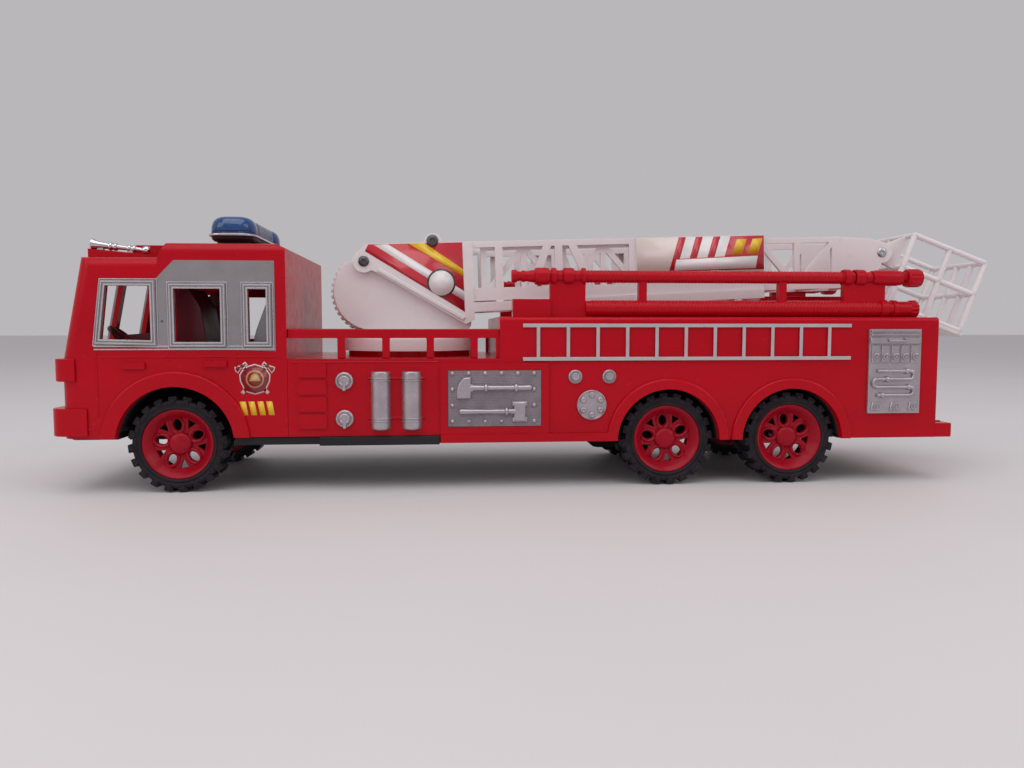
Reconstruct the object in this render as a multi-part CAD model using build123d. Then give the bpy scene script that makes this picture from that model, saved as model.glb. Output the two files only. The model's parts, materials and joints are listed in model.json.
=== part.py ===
from build123d import *
import os
from math import cos, pi, radians, sin

# Whole truck, with stations measured back from the front bumper and heights up from the floor
body_length = 323.9
body_width = 80.0
half = body_width / 2
wall = 1.8
set_gap = 0.1
free_gap = 0.4
trim_proud = 0.8

# Heights
sill_bottom = 16.8
cab_bottom = 19.5
deck_top = 46.75
box_top = 61.5
low_roof = 81.7
high_roof = 86.7

# Cab and box stations
cab_front = 3.6
cab_rear = 80.0
box_front = 154.2
rear_bumper_depth = 6.4
box_rear = body_length - rear_bumper_depth
sill_front = 133.1
sill_step = 3.0
rake_low = 45.5
roof_front = 10.9
roof_step = 37.3
roof_step_run = 2.5
roof_tail_run = 3.5
roof_tail_drop = 1.7
hatch_front = 22.4
hatch_half = 21.0
hatch_proud = 0.7
hatch_edge = 1.5
cab_corner = 5.0
roof_edge = 3.6
box_edge = 1.6

# Wheels and axles
tyre_radius = 17.0
lug_height = 1.3
lug_count = 20
lug_share = 0.5
shoulder_share = 0.38
tyre_width = 14.0
rim_radius = 12.0
rim_ring = 1.4
rim_inset = 0.6
rim_face = 2.4
rim_dish = 1.2
spokes = 5
spoke_oval = (6.7, 2.1, 1.15)
spoke_notch = (5.0, 9.0, 1.7)
hub_radius = 3.4
hub_length = 9.0
hub_proud = 0.6
hub_cap = 1.0
axle_radius = 1.5
axle_end_gap = 0.2
axle_running = 0.05
seat_clearance = 0.03
axle_z = tyre_radius
wheel_outer = half - 1.4
front_axle = 41.8
rear_axle = box_rear - 55.6
middle_axle = rear_axle - 46.3
front_arch = 20.0
front_arch_z = 17.3
rear_arch = 18.9
rear_arch_z = 16.5
front_flare = 25.4
rear_flare = 22.8
flare_proud = 1.2
flare_edge = 1.0

# Chassis
plate_thickness = 2.6
plate_top = sill_bottom + 2.4
plate_edge = 1.0
nose_drop = 0.6
spine_half = 21.5
carrier_length = 9.0
carrier_width = 5.0
carrier_wall = 2.2
axle_slot = 1.0
motor_front = 190.6
motor_length = 22.0
motor_half = 13.0
motor_depth = 6.5
motor_edge = 3.0

# Side steps
step_front = 90.8
step_rear = 132.8
step_height = 3.2
step_reach = 1.2

# Bumper, lamp band and grille
bumper_low = 20.4
bumper_height = 9.6
bumper_wrap = 12.8
band_low = 39.2
band_height = 7.8
band_wrap = 9.3
band_set = 1.3
grille_half = 26.0
grille_edge = 0.9
grille_depth = 1.2
grille_bars = 4
lamp_radius = 2.9
lamp_inner_y = 23.0
lamp_pitch = 7.2
lamp_depth = 0.7

# Cab windows as station and height corners, front to rear
window_top = low_roof - 10.8
window_low = window_top - 18.2
window_one = [(17.9, window_low + 1.0), (20.2, window_top + 1.0),
              (34.7, window_top + 1.0), (34.7, window_low + 0.6)]
window_two = [(42.6, window_low), (42.6, window_top), (58.0, window_top), (58.0, window_low)]
window_three = [(67.3, window_low), (67.3, window_top), (73.4, window_top), (73.4, window_low)]
panel_rear = cab_rear - 3.7
panel_peak = high_roof - 6.1
panel_outline = [(15.4, window_low - 1.4), (18.2, window_top + 3.2), (36.4, window_top + 3.2),
                 (42.7, panel_peak), (panel_rear, panel_peak), (panel_rear, window_low - 3.2)]
panel_recess = 0.7
rim_border = 1.9
rim_proud = 0.6
screen_low = window_low - 0.7
screen_high = low_roof - 6.2
screen_post = 1.6
screen_border = 2.2
screen_plate = 0.9
screen_half = half - cab_corner - screen_border - 3.4
handle_places = [(24.8, 43.5), (52.1, 44.1)]
handle_length = 7.6
handle_height = 2.2
handle_proud = 0.9

# Cab inside, the seats as side outlines above the cab floor
floor_top = 39.5
floor_thick = 1.6
seat_outline = [(22.0, 0), (21.5, 15.6), (34.4, 16.6), (36.6, 26.5), (41.4, 32.0), (43.9, 32.0),
                (47.7, 25.6), (49.6, 14.0), (50.4, 0)]
bench_outline = [(62.8, 0), (62.8, 7.0), (67.2, 11.2), (69.0, 17.6), (72.2, 26.0), (75.2, 27.4), (75.2, 0)]
seat_half = 10.0
seat_centre = half - 21.5
dash_front = 10.6
dash_depth = 6.4
dash_height = 13.5
dash_top_share = 0.5
dash_nose_share = 0.6
dash_foot_share = 0.7
wheel_place = (16.2, 15.2)
wheel_ring = 4.6
wheel_section = 0.75
wheel_lean = 40.0
column_length = 8.0

# Roof horns lying on their wedges
horn_y = half - 11.0
horn_front = 11.6
horn_length = 19.7
horn_bell = 1.8
horn_bell_run = 1.2
horn_bell_share = 0.78
horn_cone_run = 9.0
horn_tail_run = 3.0
horn_tail_share = 1.9
horn_throat = 0.75
horn_fall = 6.0
wedge_front = 11.6
wedge_length = 25.0
wedge_half = 3.6
wedge_high = 3.3
wedge_low = 1.0

# Light bar on its roof pad
bar_front = 49.7
bar_length = 17.0
bar_half = half - 13.0
bar_foot = 2.2
bar_base = high_roof + bar_foot
bar_plate = 2.4
dome_inset = 1.5
dome_height = 5.8
dome_inner = 13.0
dome_edge = 2.5
dome_corner = 1.6
middle_share = 0.8
foot_half = 4.0
foot_y = 19.0
foot_inset = 3.0
pad_margin = 2.0
pad_height = 0.7

# Side equipment
rib_front = 83.8
rib_rear = 93.4
rib_low = 22.3
rib_margin = 0.45
rib_count = 4
rib_gap = 0.9
rib_proud = 0.6
cap_station = 99.6
cap_heights = [25.7, 39.0]
cap_radius = 3.1
cap_proud = 1.6
tab_drop = 4.0
tab_width = 1.8
tab_proud = 1.0
bottle_stations = [112.2, 123.0]
bottle_radius = 3.4
bottle_low = 21.7
bottle_height = 20.6
band_proud = 0.35
bottle_band = 1.2
bottle_bands = [0.17, 0.84]
bay_front = sill_front
bay_rear = 171.7
bay_low = sill_bottom + sill_step
bay_high = deck_top - 1.55
bay_border = 2.6
tool_proud = 1.1
haft_width = 1.7
axe_share = 0.68
axe_span = (9.0, 4.0)
axe_head = [(4.0, -3.2), (3.4, 3.2), (10.0, 2.0), (10.0, -2.0)]
hammer_share = 0.26
hammer_span = (5.0, 8.0)
hammer_head = (9.0, 5.0, 3.6)
clip_places = [(14.0, axe_share), (24.0, axe_share), (20.0, hammer_share)]
clip_size = (1.2, 1.7, 0.3)
small_cap_places = [(181.3, 40.1), (193.6, 40.1)]
small_cap_radius = 2.5
disc_place = (187.3, 29.9)
disc_radius = 5.0
disc_proud = 1.2
disc_bosses = 6
boss_ring = 3.2
boss_radius = 0.9
locker_front = box_rear - 27.1
locker_rear = box_rear - 7.1
locker_low = 26.0
locker_high = box_top - 4.4
locker_proud = 0.5
locker_edge = 1.0
locker_slats = 3
slat_height = 0.9
slat_pitch = 2.0
locker_doors = 5
door_gap = 0.4
door_band = (14.0, 7.4)
rail_front = box_front + 8.2
rail_rear = locker_front - 6.9
rail_low = 46.5
rail_high = 58.4
rail_width = 1.3
rung_front_margin = 5.5
rung_rear_margin = 8.3
rung_count = 11
rung_width = 1.25

# Deck railing
railing_y = half - 2.4
railing_size = 2.6
railing_depth = 3.2
railing_high = deck_top + 10.4
post_first = 98.5
post_pitch = 15.55
post_count = 4

# Hose racks
hose_y = half - 6.8
hose_high = 76.2
hose_radius = 2.7
hose_thin = 2.1
hose_sleeve = 3.0
low_hose_radius = 3.0
hose_front = box_front + 5.0
hose_rear = box_rear - 4.1
nozzle_length = 8.2
nozzle_tip = 1.5
nozzle_lip = 0.8
nozzle_lip_length = 1.6
ring_proud = 0.45
front_rings = [(8.2, 5.1), (14.1, 1.8), (18.5, 3.8), (25.1, 1.6)]
rear_rings = [(0.0, 2.6), (4.2, 3.9)]
rear_thick = 11.2
rear_cap = 7.5
cap_neck = 2.0
rack_web = 2.6
first_post = (box_front + 18.6, 13.0)
thin_posts = [(box_front + 51.3, 3.0), (box_rear - 59.2, 3.0)]
last_post = (box_rear - 34.2, 16.1)
low_hose_end = box_rear - 5.4
rack_block = 13.6
rack_block_height = 6.4

# Rear face
rear_step_height = 5.2
tail_lamp_height = 9.0
tail_lamp_width = 5.0
tail_lamp_low = 25.5
tail_lamp_y = half - 6.5
tail_lamp_proud = 1.0
door_half = 25.0
door_low = 27.5
door_high = box_top - 5.0
door_slats = 7
door_proud = 0.9
door_edge = 1.0
slat_cut = 0.25

# Turntable and turret
table_station = 120.6
table_ring = 24.0
table_lift = 2.15
table_radius = 26.0
table_height = 4.6
table_step = 3.0
table_step_radius = 22.5
turret_low = deck_top + table_lift + table_height + table_step
cheek_rear = 144.95
cheek_corner = 3.0
cheek_low_face = 7.0
drum_station = 107.6
drum_height = 71.3
drum_round = 14.6
ratchet_radius = 16.6
ratchet_tooth = 0.7
ratchet_teeth = 44
ratchet_share = 0.5
ratchet_half = 8.0

# Ladder, in its own frame: back from the heel pin, and up square to its run
pivot_station = 104.5
pivot_height = box_top + 21.0
pin_radius = 1.6
pin_head = 2.0
pin_head_depth = 1.0
heel_boss = 4.2
ladder_rise = 1.8
ladder_half = 17.2
side_plate = 2.2
heel_outline = [(-3.9, -0.5), (-3.3, 2.4), (0.8, 6.5), (41.0, 6.5), (41.0, -23.0), (37.6, -24.8),
                (4.5, -4.2)]
heel_web = 1.8
heel_cover_front = 5.2
truss_front = 39.5
base_back = 154.9
base_low = [(truss_front, -20.2), (base_back, -18.0)]
strip_low = -16.0
strip_high = -11.1
base_high = 6.5
base_rail = 3.6
top_rail = 2.3
truss_bar = 3.0
truss_thick = 1.6
truss_bars = [(51, 51), (61, 70), (74, 74), (89, 79), (103, 103), (117, 107), (119, 131), (135, 135),
              (151, 140), (153.4, 153.4)]
banner_front = 104.0
banner_low = -9.5
banner_thick = 0.8
base_rung_first = 46.0
base_rung_last = 153.0
base_rungs = 10
rung_drop = 0.5
rung_radius = 1.1
extension_front = 44.0
extension_back = 199.0
extension_low = -15.0
extension_high = 5.4
extension_plate = 1.7
extension_rail = 2.2
extension_bays = 9
extension_bar = 2.2
extension_rungs = 11
extension_rung_radius = 1.0
tip_plate = 13.0
tip_plate_drop = 1.0
tip_pin_back = 204.4
tip_pin_up = -1.3
tip_boss = 4.2
tip_pin_radius = 1.2
lug_screw_back = 26.0
lug_screw_radius = 3.4
rest_outline = [(247.0, 0), (251.0, -0.4), (260.0, -0.4), (262.0, 1.2), (297.0, 1.2), (303.0, 0)]
rest_half = 11.0

# Basket, in its own frame about its pin before it is tilted
basket_tilt = 20.0
basket_front = 8.0
basket_length = 34.0
basket_half = 18.0
basket_low = -20.5
basket_high = 11.5
basket_bar = 2.2
basket_floor = 1.6
basket_ear = 1.8
basket_mid = -4.0
ear_boss = 3.2

rise = radians(ladder_rise)
tip_pin_station = pivot_station + tip_pin_back * cos(rise) - tip_pin_up * sin(rise)
tip_pin_z = pivot_height + tip_pin_back * sin(rise) + tip_pin_up * cos(rise)
basket_back = basket_front + basket_length
basket_reach = max(basket_back * cos(radians(basket_tilt)) + z * sin(radians(basket_tilt))
                   for z in (basket_low, basket_high))
overall_length = max(body_length, tip_pin_station + basket_reach)
front_x = overall_length / 2
parts = {}


def at(station):
    """Turn a station behind the front bumper into X."""
    return front_x - station


def block(station_a, station_b, y_a, y_b, z_a, z_b):
    """Make a box between two stations, two widths and two heights."""
    size = (abs(station_b - station_a), abs(y_b - y_a), abs(z_b - z_a))
    centre = (at((station_a + station_b) / 2), (y_a + y_b) / 2, (z_a + z_b) / 2)
    return Pos(*centre) * Box(*size)


def side_prism(points, y_low, y_high):
    """Extrude an outline of stations and heights across the truck."""
    outline = Polyline(*[(at(s), y_low, z) for s, z in points], close=True)
    return extrude(make_face(outline), amount=y_high - y_low, dir=(0, 1, 0))


def plan_prism(station_a, station_b, half_width, z_low, z_high, front_round):
    """Extrude a plan rectangle upward, with its two front corners rounded."""
    plan = Pos(at((station_a + station_b) / 2), 0, z_low) * Rectangle(station_b - station_a, 2 * half_width)
    if front_round > 0:
        plan = fillet(plan.vertices().sort_by(Axis.X)[-2:], front_round)
    return extrude(plan, amount=z_high - z_low)


def end_prism(station_a, station_b, half_width, z_low, z_high, top_round):
    """Extrude an end-view rectangle along the truck, with its two top corners rounded."""
    view = Plane.YZ.offset(at(station_b)) * Pos(0, (z_low + z_high) / 2) * Rectangle(
        2 * half_width, z_high - z_low)
    if top_round > 0:
        view = fillet(view.vertices().sort_by(Axis.Z)[-2:], top_round)
    return extrude(view, amount=station_b - station_a)


def cross_rod(station, z, radius, y_low, y_high):
    """Make a round bar across the truck."""
    middle = (y_low + y_high) / 2
    return Pos(at(station), middle, z) * Rot(90, 0, 0) * Cylinder(radius, y_high - y_low)


def both_sides(shape):
    """Return a left-hand shape with its mirror image on the right."""
    return [shape, mirror(shape, about=Plane.XZ)]


def fuse(base, pieces):
    """Join a list of pieces to a base solid."""
    result = base
    for piece in pieces:
        result = result + piece
    return result


def one_solid_or_group(shapes):
    """Return one solid as it is, or several as one group."""
    solids = [solid for shape in shapes for solid in shape.solids()]
    return solids[0] if len(solids) == 1 else Compound(children=solids)


def keep(name, *shapes):
    """Store the finished shapes of one node."""
    parts[name] = one_solid_or_group(shapes)


# Cab shell: a low front roof and a raised rear roof over one hollow body
lean = (roof_front - cab_front) / (low_roof - rake_low)


def face_station(z):
    """Return the station of the raked cab front at a height above the foot of its rake."""
    return cab_front + lean * (z - rake_low)


def leaning_plan(inset, low_cut):
    """Return a column over the cab's plan, upright at first and leaning back above the foot of the rake."""
    upright = plan_prism(cab_front + inset, cab_rear, half - inset, low_cut, rake_low, cab_corner - inset)
    length = cab_rear + free_gap + roof_front - cab_front - inset
    top = Pos(at(cab_front + inset + length / 2), 0, rake_low) * Rectangle(length, 2 * (half - inset))
    top = fillet(top.vertices().sort_by(Axis.X)[-2:], cab_corner - inset)
    return upright + extrude(top, amount=high_roof, dir=(-lean, 0, 1))


def cab_body(inset, low_cut):
    """Return the cab's form drawn in by an inset, down to a given height."""
    low = side_prism([(cab_front + inset, low_cut), (cab_front + inset, low_roof - inset),
                      (cab_rear - inset, low_roof - inset), (cab_rear - inset, low_cut)], -half, half)
    low = low & end_prism(0, body_length, half - inset, 0, low_roof - inset, roof_edge - inset)
    high = side_prism([(roof_step + inset, rake_low), (roof_step + inset, low_roof - inset),
                       (roof_step + roof_step_run + inset, high_roof - inset),
                       (cab_rear - roof_tail_run, high_roof - inset),
                       (cab_rear - inset, high_roof - roof_tail_drop),
                       (cab_rear - inset, rake_low)], -half, half)
    high = high & end_prism(0, body_length, half - inset, 0, high_roof - inset, roof_edge - inset)
    return (low + high) & leaning_plan(inset, low_cut)


def arch_lip(station, centre_z, outer, floor_z):
    """Return the raised, round-edged pad on the left side that an arch is cut from."""
    pad = cross_rod(station, centre_z, outer, half - wall, half + flare_proud)
    pad = fillet(pad.edges().filter_by(GeomType.CIRCLE).sort_by(Axis.Y)[-1], flare_edge)
    return pad & block(station - 2 * outer, station + 2 * outer, 0, body_width, floor_z, high_roof)


def arch_hole(station, centre_z, radius):
    """Return the space that one axle's pair of arches leaves open."""
    return cross_rod(station, centre_z, radius, -body_width, body_width)


outer_cab = cab_body(0, cab_bottom)
cab = outer_cab - cab_body(wall, cab_bottom - wall)
horn_wedge = side_prism([(wedge_front, low_roof - wall), (wedge_front, low_roof + wedge_high),
                         (wedge_front + wedge_length, low_roof + wedge_low),
                         (wedge_front + wedge_length, low_roof - wall)],
                        horn_y - wedge_half, horn_y + wedge_half)
roof_hatch = block(hatch_front, roof_step + roof_step_run, -hatch_half, hatch_half, low_roof - wall,
                   high_roof + hatch_proud)
roof_hatch = fillet(roof_hatch.faces().sort_by(Axis.Z)[-1].edges().sort_by(Axis.X)[-1], hatch_edge)
bar_pad = block(bar_front - pad_margin, bar_front + bar_length + pad_margin, -bar_half + pad_margin,
                bar_half - pad_margin, high_roof - wall, high_roof + pad_height)
handles = [block(s, s + handle_length, half - wall, half + handle_proud, z, z + handle_height)
           for s, z in handle_places]
cab = fuse(cab, [roof_hatch, bar_pad])
front_lip = arch_lip(front_axle, front_arch_z, front_flare, cab_bottom)
cab = fuse(cab, [side for item in [horn_wedge, front_lip] + handles for side in both_sides(item)])
cab = cab - arch_hole(front_axle, front_arch_z, front_arch)
for outline in (window_one, window_two, window_three):
    cab = cab - side_prism(outline, -half - 5, half + 5)
for y_a, y_b in ((screen_post, screen_half), (-screen_half, -screen_post)):
    cab = cab - block(0, roof_front + 2 * wall, y_a, y_b, screen_low, screen_high)
recess = side_prism(panel_outline, half - panel_recess, half + 5)
cab = cab - recess - mirror(recess, about=Plane.XZ)
keep("cab_shell", cab)


# Side window panels and the windscreen frame
def window_panel():
    """Return the left-hand window panel with its raised rims."""
    back = half - panel_recess
    face = half + trim_proud - panel_recess
    panel = side_prism(panel_outline, back, face)
    for outline in (window_one, window_two, window_three):
        middle_s = sum(s for s, z in outline) / len(outline)
        middle_z = sum(z for s, z in outline) / len(outline)
        grown = [(s + rim_border * (1 if s > middle_s else -1),
                  z + rim_border * (1 if z > middle_z else -1)) for s, z in outline]
        panel = panel + side_prism(grown, back, face + rim_proud)
    for outline in (window_one, window_two, window_three):
        panel = panel - side_prism(outline, back - 1, face + 2)
    return panel


left_panel = window_panel()
keep("window_panel_left", left_panel)
keep("window_panel_right", mirror(left_panel, about=Plane.XZ))

frame_low = screen_low - screen_border
frame_high = screen_high + screen_border
frame_half = min(screen_half + screen_border, half - cab_corner - set_gap)
screen = side_prism([(face_station(frame_low), frame_low), (face_station(frame_high), frame_high),
                     (face_station(frame_high) - screen_plate, frame_high),
                     (face_station(frame_low) - screen_plate, frame_low)], -frame_half, frame_half)
for y_a, y_b in ((screen_post, screen_half), (-screen_half, -screen_post)):
    screen = screen - block(0, roof_front + wall, y_a, y_b, screen_low, screen_high)
keep("windscreen_frame", screen)

# Bumper, lamp band, grille and lamps
cab_plan = plan_prism(cab_front - set_gap, cab_rear, half + set_gap, 0, high_roof, cab_corner + set_gap)


def front_wrap(front, rear, z_low, z_high):
    """Return a moulding that wraps the cab front back to a station on each side."""
    whole = plan_prism(front, cab_rear, half + trim_proud, z_low, z_high, cab_corner)
    return (whole & block(front, rear, -body_width, body_width, z_low, z_high)) - cab_plan


keep("front_bumper", front_wrap(0, bumper_wrap, bumper_low, bumper_low + bumper_height))
keep("lamp_band", front_wrap(band_set, band_wrap, band_low, band_low + band_height))

grille_low = bumper_low + bumper_height + grille_edge
grille_high = band_low - grille_edge
grille = block(cab_front - grille_depth, cab_front, -grille_half, grille_half, grille_low, grille_high)
bar_pitch = (grille_high - grille_low) / (2 * grille_bars + 1)
for index in range(grille_bars):
    slot_low = grille_low + bar_pitch * (2 * index + 1)
    grille = grille - block(0, cab_front - grille_depth / 2, -grille_half + grille_edge,
                            grille_half - grille_edge, slot_low, slot_low + bar_pitch)
keep("front_grille", grille)

lamps = []
for index in range(2):
    lamp_y = lamp_inner_y + lamp_pitch * index
    lamp = Pos(at(band_set) + lamp_depth / 2, lamp_y, band_low + band_height / 2) * Rot(0, 90, 0) * Cylinder(
        lamp_radius, lamp_depth)
    lamps = lamps + both_sides(lamp)
keep("headlamps", *lamps)

# Cab inside: floor with two front seats, rear bench, dashboard with steering wheel
inside_half = half - wall - set_gap
cab_floor = block(cab_front + wall + cab_corner, cab_rear - wall - set_gap, -inside_half, inside_half,
                  floor_top - floor_thick, floor_top)
seat_points = [(s, floor_top + rise_of) for s, rise_of in seat_outline]
seats = both_sides(side_prism(seat_points, seat_centre - seat_half, seat_centre + seat_half))
keep("cab_seats", fuse(cab_floor, seats))

bench_half = inside_half - wall
bench = side_prism([(s, floor_top + rise_of) for s, rise_of in bench_outline], -bench_half, bench_half)
keep("rear_bench", bench)

dash_half = half - cab_corner - set_gap
dash = side_prism([(dash_front, floor_top - floor_thick), (dash_front, floor_top + dash_height),
                   (dash_front + dash_depth * dash_top_share, floor_top + dash_height),
                   (dash_front + dash_depth, floor_top + dash_height * dash_nose_share),
                   (dash_front + dash_depth * dash_foot_share, floor_top - floor_thick)],
                  -dash_half, dash_half)
dash = dash - block(cab_front + wall + cab_corner - set_gap, cab_rear, -half, half,
                    floor_top - floor_thick - set_gap, floor_top + set_gap)
wheel_station, wheel_rise = wheel_place
ring_place = Pos(at(wheel_station), seat_centre, floor_top + wheel_rise) * Rot(0, -wheel_lean, 0)
column = ring_place * Pos(0, 0, -column_length / 2) * Cylinder(wheel_section, column_length)
wheel_bar = ring_place * Box(2 * wheel_ring, 2 * wheel_section, 2 * wheel_section)
keep("dashboard", fuse(dash, [ring_place * Torus(wheel_ring, wheel_section), column, wheel_bar]))


# Roof horns on their wedges
def horn(y_mid):
    """Return one trumpet, its bell to the front and its foot along the wedge."""
    tail_start = horn_tail_run - horn_length
    tail_radius = horn_throat * horn_tail_share
    outline = Polyline((0, 0), (0, horn_bell), (-horn_bell_run, horn_bell * horn_bell_share),
                       (-horn_cone_run, horn_throat), (tail_start, horn_throat), (tail_start, tail_radius),
                       (-horn_length, tail_radius), (-horn_length, 0), close=True)
    body = revolve(Plane.XZ * make_face(outline), axis=Axis.X)
    foot_length = horn_length - 2 * horn_bell_run
    foot = Pos(-horn_length / 2, 0, -horn_bell / 2) * Box(foot_length, horn_throat, horn_bell)
    drop = wedge_high - (wedge_high - wedge_low) * (horn_front - wedge_front) / wedge_length
    place = Pos(at(horn_front), y_mid, low_roof + drop + horn_bell) * Rot(0, -horn_fall, 0)
    bed = mirror(horn_wedge, about=Plane.XZ) if y_mid < 0 else horn_wedge
    return place * (body + foot) - bed


keep("roof_horns", horn(horn_y), horn(-horn_y))

# Light bar: chrome tray on two feet, two blue domes and a clear middle
bar_rear = bar_front + bar_length
tray = block(bar_front, bar_rear, -bar_half, bar_half, bar_base, bar_base + bar_plate)
feet = [block(bar_front + foot_inset, bar_rear - foot_inset, side * foot_y - foot_half,
              side * foot_y + foot_half, high_roof + pad_height, bar_base) for side in (-1, 1)]
keep("light_bar_tray", tray)
keep("light_bar_feet", *feet)
lens_low = bar_base + bar_plate
dome = block(bar_front + dome_inset, bar_rear - dome_inset, dome_inner, bar_half - dome_inset / 2, lens_low,
             lens_low + dome_height)
dome = fillet(dome.edges().filter_by(Axis.Z), dome_corner)
dome = fillet(dome.faces().sort_by(Axis.Z)[-1].edges(), dome_edge)
keep("light_bar_domes", *both_sides(dome))
keep("light_bar_middle", block(bar_front + dome_inset + dome_edge / 2, bar_rear - dome_inset - dome_edge / 2,
                               -dome_inner + set_gap, dome_inner - set_gap,
                               lens_low, lens_low + dome_height * middle_share))


# Body shell behind the cab: low deck for the turntable, then the high equipment box
def body_form(inset, extra_low):
    """Return the body's form drawn in by an inset."""
    front = cab_rear + set_gap + inset
    rear = box_rear - inset
    outline = [(front, cab_bottom - extra_low), (front, deck_top - inset),
               (box_front + inset, deck_top - inset), (box_front + inset, box_top - inset),
               (rear, box_top - inset), (rear, sill_bottom - extra_low),
               (sill_front - inset, sill_bottom - extra_low), (sill_front - inset, cab_bottom - extra_low)]
    form = side_prism(outline, -half + inset, half - inset)
    return form & end_prism(0, body_length, half - inset, 0, box_top - inset, box_edge)


body = body_form(0, 0) - body_form(wall, wall)
trims = [arch_lip(station, rear_arch_z, rear_flare, sill_bottom) for station in (middle_axle, rear_axle)]
sill_rear = middle_axle - rear_arch
bay = block(bay_front, bay_rear, half - wall, half + trim_proud, bay_low, bay_high)
bay = bay - block(bay_front + bay_border, bay_rear - bay_border, half, body_width,
                  bay_low + bay_border, bay_high - bay_border)
trims.append(bay)
trims.append(block(sill_front, sill_rear, half - wall, half + flare_proud, sill_bottom,
                   sill_bottom + sill_step))
rib_pitch = (deck_top - rib_margin - rib_low) / rib_count
for index in range(rib_count):
    rib_z = rib_low + rib_pitch * index
    trims.append(block(rib_front, rib_rear, half - wall, half + rib_proud, rib_z,
                       rib_z + rib_pitch - rib_gap))
bed_height = table_lift + wall
bed_mid = deck_top + table_lift - bed_height / 2
table_bed = Pos(at(table_station), 0, bed_mid) * Cylinder(table_ring, bed_height)
body = fuse(body, [table_bed] + [side for item in trims for side in both_sides(item)])
for station in (middle_axle, rear_axle):
    body = body - arch_hole(station, rear_arch_z, rear_arch)
keep("body_shell", body)


# Deck railings
def railing():
    """Return the left-hand railing on the deck edge."""
    y_a = railing_y - railing_size / 2
    y_b = railing_y + railing_size / 2
    rail = block(cab_rear + set_gap, box_front - set_gap, y_a, y_b, railing_high - railing_depth,
                 railing_high)
    stations = [post_first + post_pitch * n for n in range(post_count)] + [box_front]
    posts = [block(s - railing_size / 2, s + railing_size / 2, y_a, y_b, deck_top, railing_high)
             for s in stations]
    return fuse(rail, posts) - block(box_front - set_gap, body_length, -half, half, 0, high_roof)


keep("railing_left", railing())
keep("railing_right", mirror(railing(), about=Plane.XZ))


# Side equipment, drawn on the left and mirrored
def disc_on_side(station, z, radius, proud):
    """Return a round cap standing on the left side."""
    return cross_rod(station, z, radius, half, half + proud)


def tool_panel():
    """Return the silver panel with its axe and hammer in relief."""
    front = bay_front + bay_border + set_gap
    rear = bay_rear - bay_border - set_gap
    low = bay_low + bay_border + set_gap
    high = bay_high - bay_border - set_gap
    face = half + trim_proud
    raise_to = face + tool_proud
    axe_z = low + (high - low) * axe_share
    hammer_z = low + (high - low) * hammer_share
    pieces = [block(front + axe_span[0], rear - axe_span[1], face, raise_to, axe_z - haft_width / 2,
                    axe_z + haft_width / 2),
              side_prism([(front + s, axe_z + z) for s, z in axe_head], face, raise_to),
              block(front + hammer_span[0], rear - hammer_span[1], face, raise_to, hammer_z - haft_width / 2,
                    hammer_z + haft_width / 2),
              block(rear - hammer_head[0], rear - hammer_head[1], face, raise_to, hammer_z - hammer_head[2],
                    hammer_z + hammer_head[2])]
    length, clip_half, clip_proud = clip_size
    for station, share in clip_places:
        z = low + (high - low) * share
        pieces.append(block(front + station, front + station + length, face, raise_to + clip_proud,
                            z - clip_half, z + clip_half))
    return fuse(block(front, rear, half, face, low, high), pieces)


keep("tool_panel_left", tool_panel())
keep("tool_panel_right", mirror(tool_panel(), about=Plane.XZ))

bottles = []
for station in bottle_stations:
    bottle = Pos(at(station), half, bottle_low + bottle_height / 2) * Cylinder(bottle_radius, bottle_height)
    for share in bottle_bands:
        strap = Pos(at(station), half, bottle_low + bottle_height * share) * Cylinder(
            bottle_radius + band_proud, bottle_band)
        bottle = bottle + strap
    bottles.append(bottle & block(station - 2 * bottle_radius, station + 2 * bottle_radius, half,
                                  half + 2 * bottle_radius, bottle_low - bottle_band, box_top))
keep("air_bottles", *[side for item in bottles for side in both_sides(item)])

caps = []
for z in cap_heights:
    tab = block(cap_station - tab_width / 2, cap_station + tab_width / 2, half, half + tab_proud,
                z - tab_drop, z)
    caps.append(disc_on_side(cap_station, z, cap_radius, cap_proud) + tab)
for station, z in small_cap_places:
    caps.append(disc_on_side(station, z, small_cap_radius, cap_proud))
disc = disc_on_side(disc_place[0], disc_place[1], disc_radius, disc_proud)
for index in range(disc_bosses):
    turn = 2 * pi * index / disc_bosses
    disc = disc + disc_on_side(disc_place[0] + boss_ring * cos(turn), disc_place[1] + boss_ring * sin(turn),
                               boss_radius, cap_proud)
caps.append(disc)
keep("outlet_caps", *[side for item in caps for side in both_sides(item)])


def side_ladder():
    """Return the flat ladder moulded on the left side of the box."""
    rails = [block(rail_front, rail_rear, half, half + trim_proud, z - rail_width / 2, z + rail_width / 2)
             for z in (rail_low, rail_high)]
    first = rail_front + rung_front_margin
    pitch = (rail_rear - rung_rear_margin - first) / (rung_count - 1)
    rungs = [block(first + pitch * n - rung_width / 2, first + pitch * n + rung_width / 2,
                   half, half + trim_proud, rail_low, rail_high) for n in range(rung_count)]
    return fuse(rails[0], rails[1:] + rungs)


keep("side_ladder_left", side_ladder())
keep("side_ladder_right", mirror(side_ladder(), about=Plane.XZ))


def locker_panel():
    """Return the left-hand panel with its slats and its row of small doors."""
    face = half + trim_proud + locker_proud
    front = locker_front + locker_edge
    rear = locker_rear - locker_edge
    pieces = [block(front, rear, half, face, locker_high - (slat_height + slat_pitch * n) - slat_height / 2,
                    locker_high - slat_height / 2 - slat_pitch * n) for n in range(locker_slats)]
    pitch = (rear - front) / locker_doors
    deep, shallow = door_band
    for n in range(locker_doors):
        pieces.append(block(front + pitch * n + door_gap, front + pitch * (n + 1) - door_gap, half, face,
                            locker_high - deep, locker_high - shallow))
    return fuse(block(locker_front, locker_rear, half, half + trim_proud, locker_low, locker_high), pieces)


keep("locker_panels", *both_sides(locker_panel()))


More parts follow.
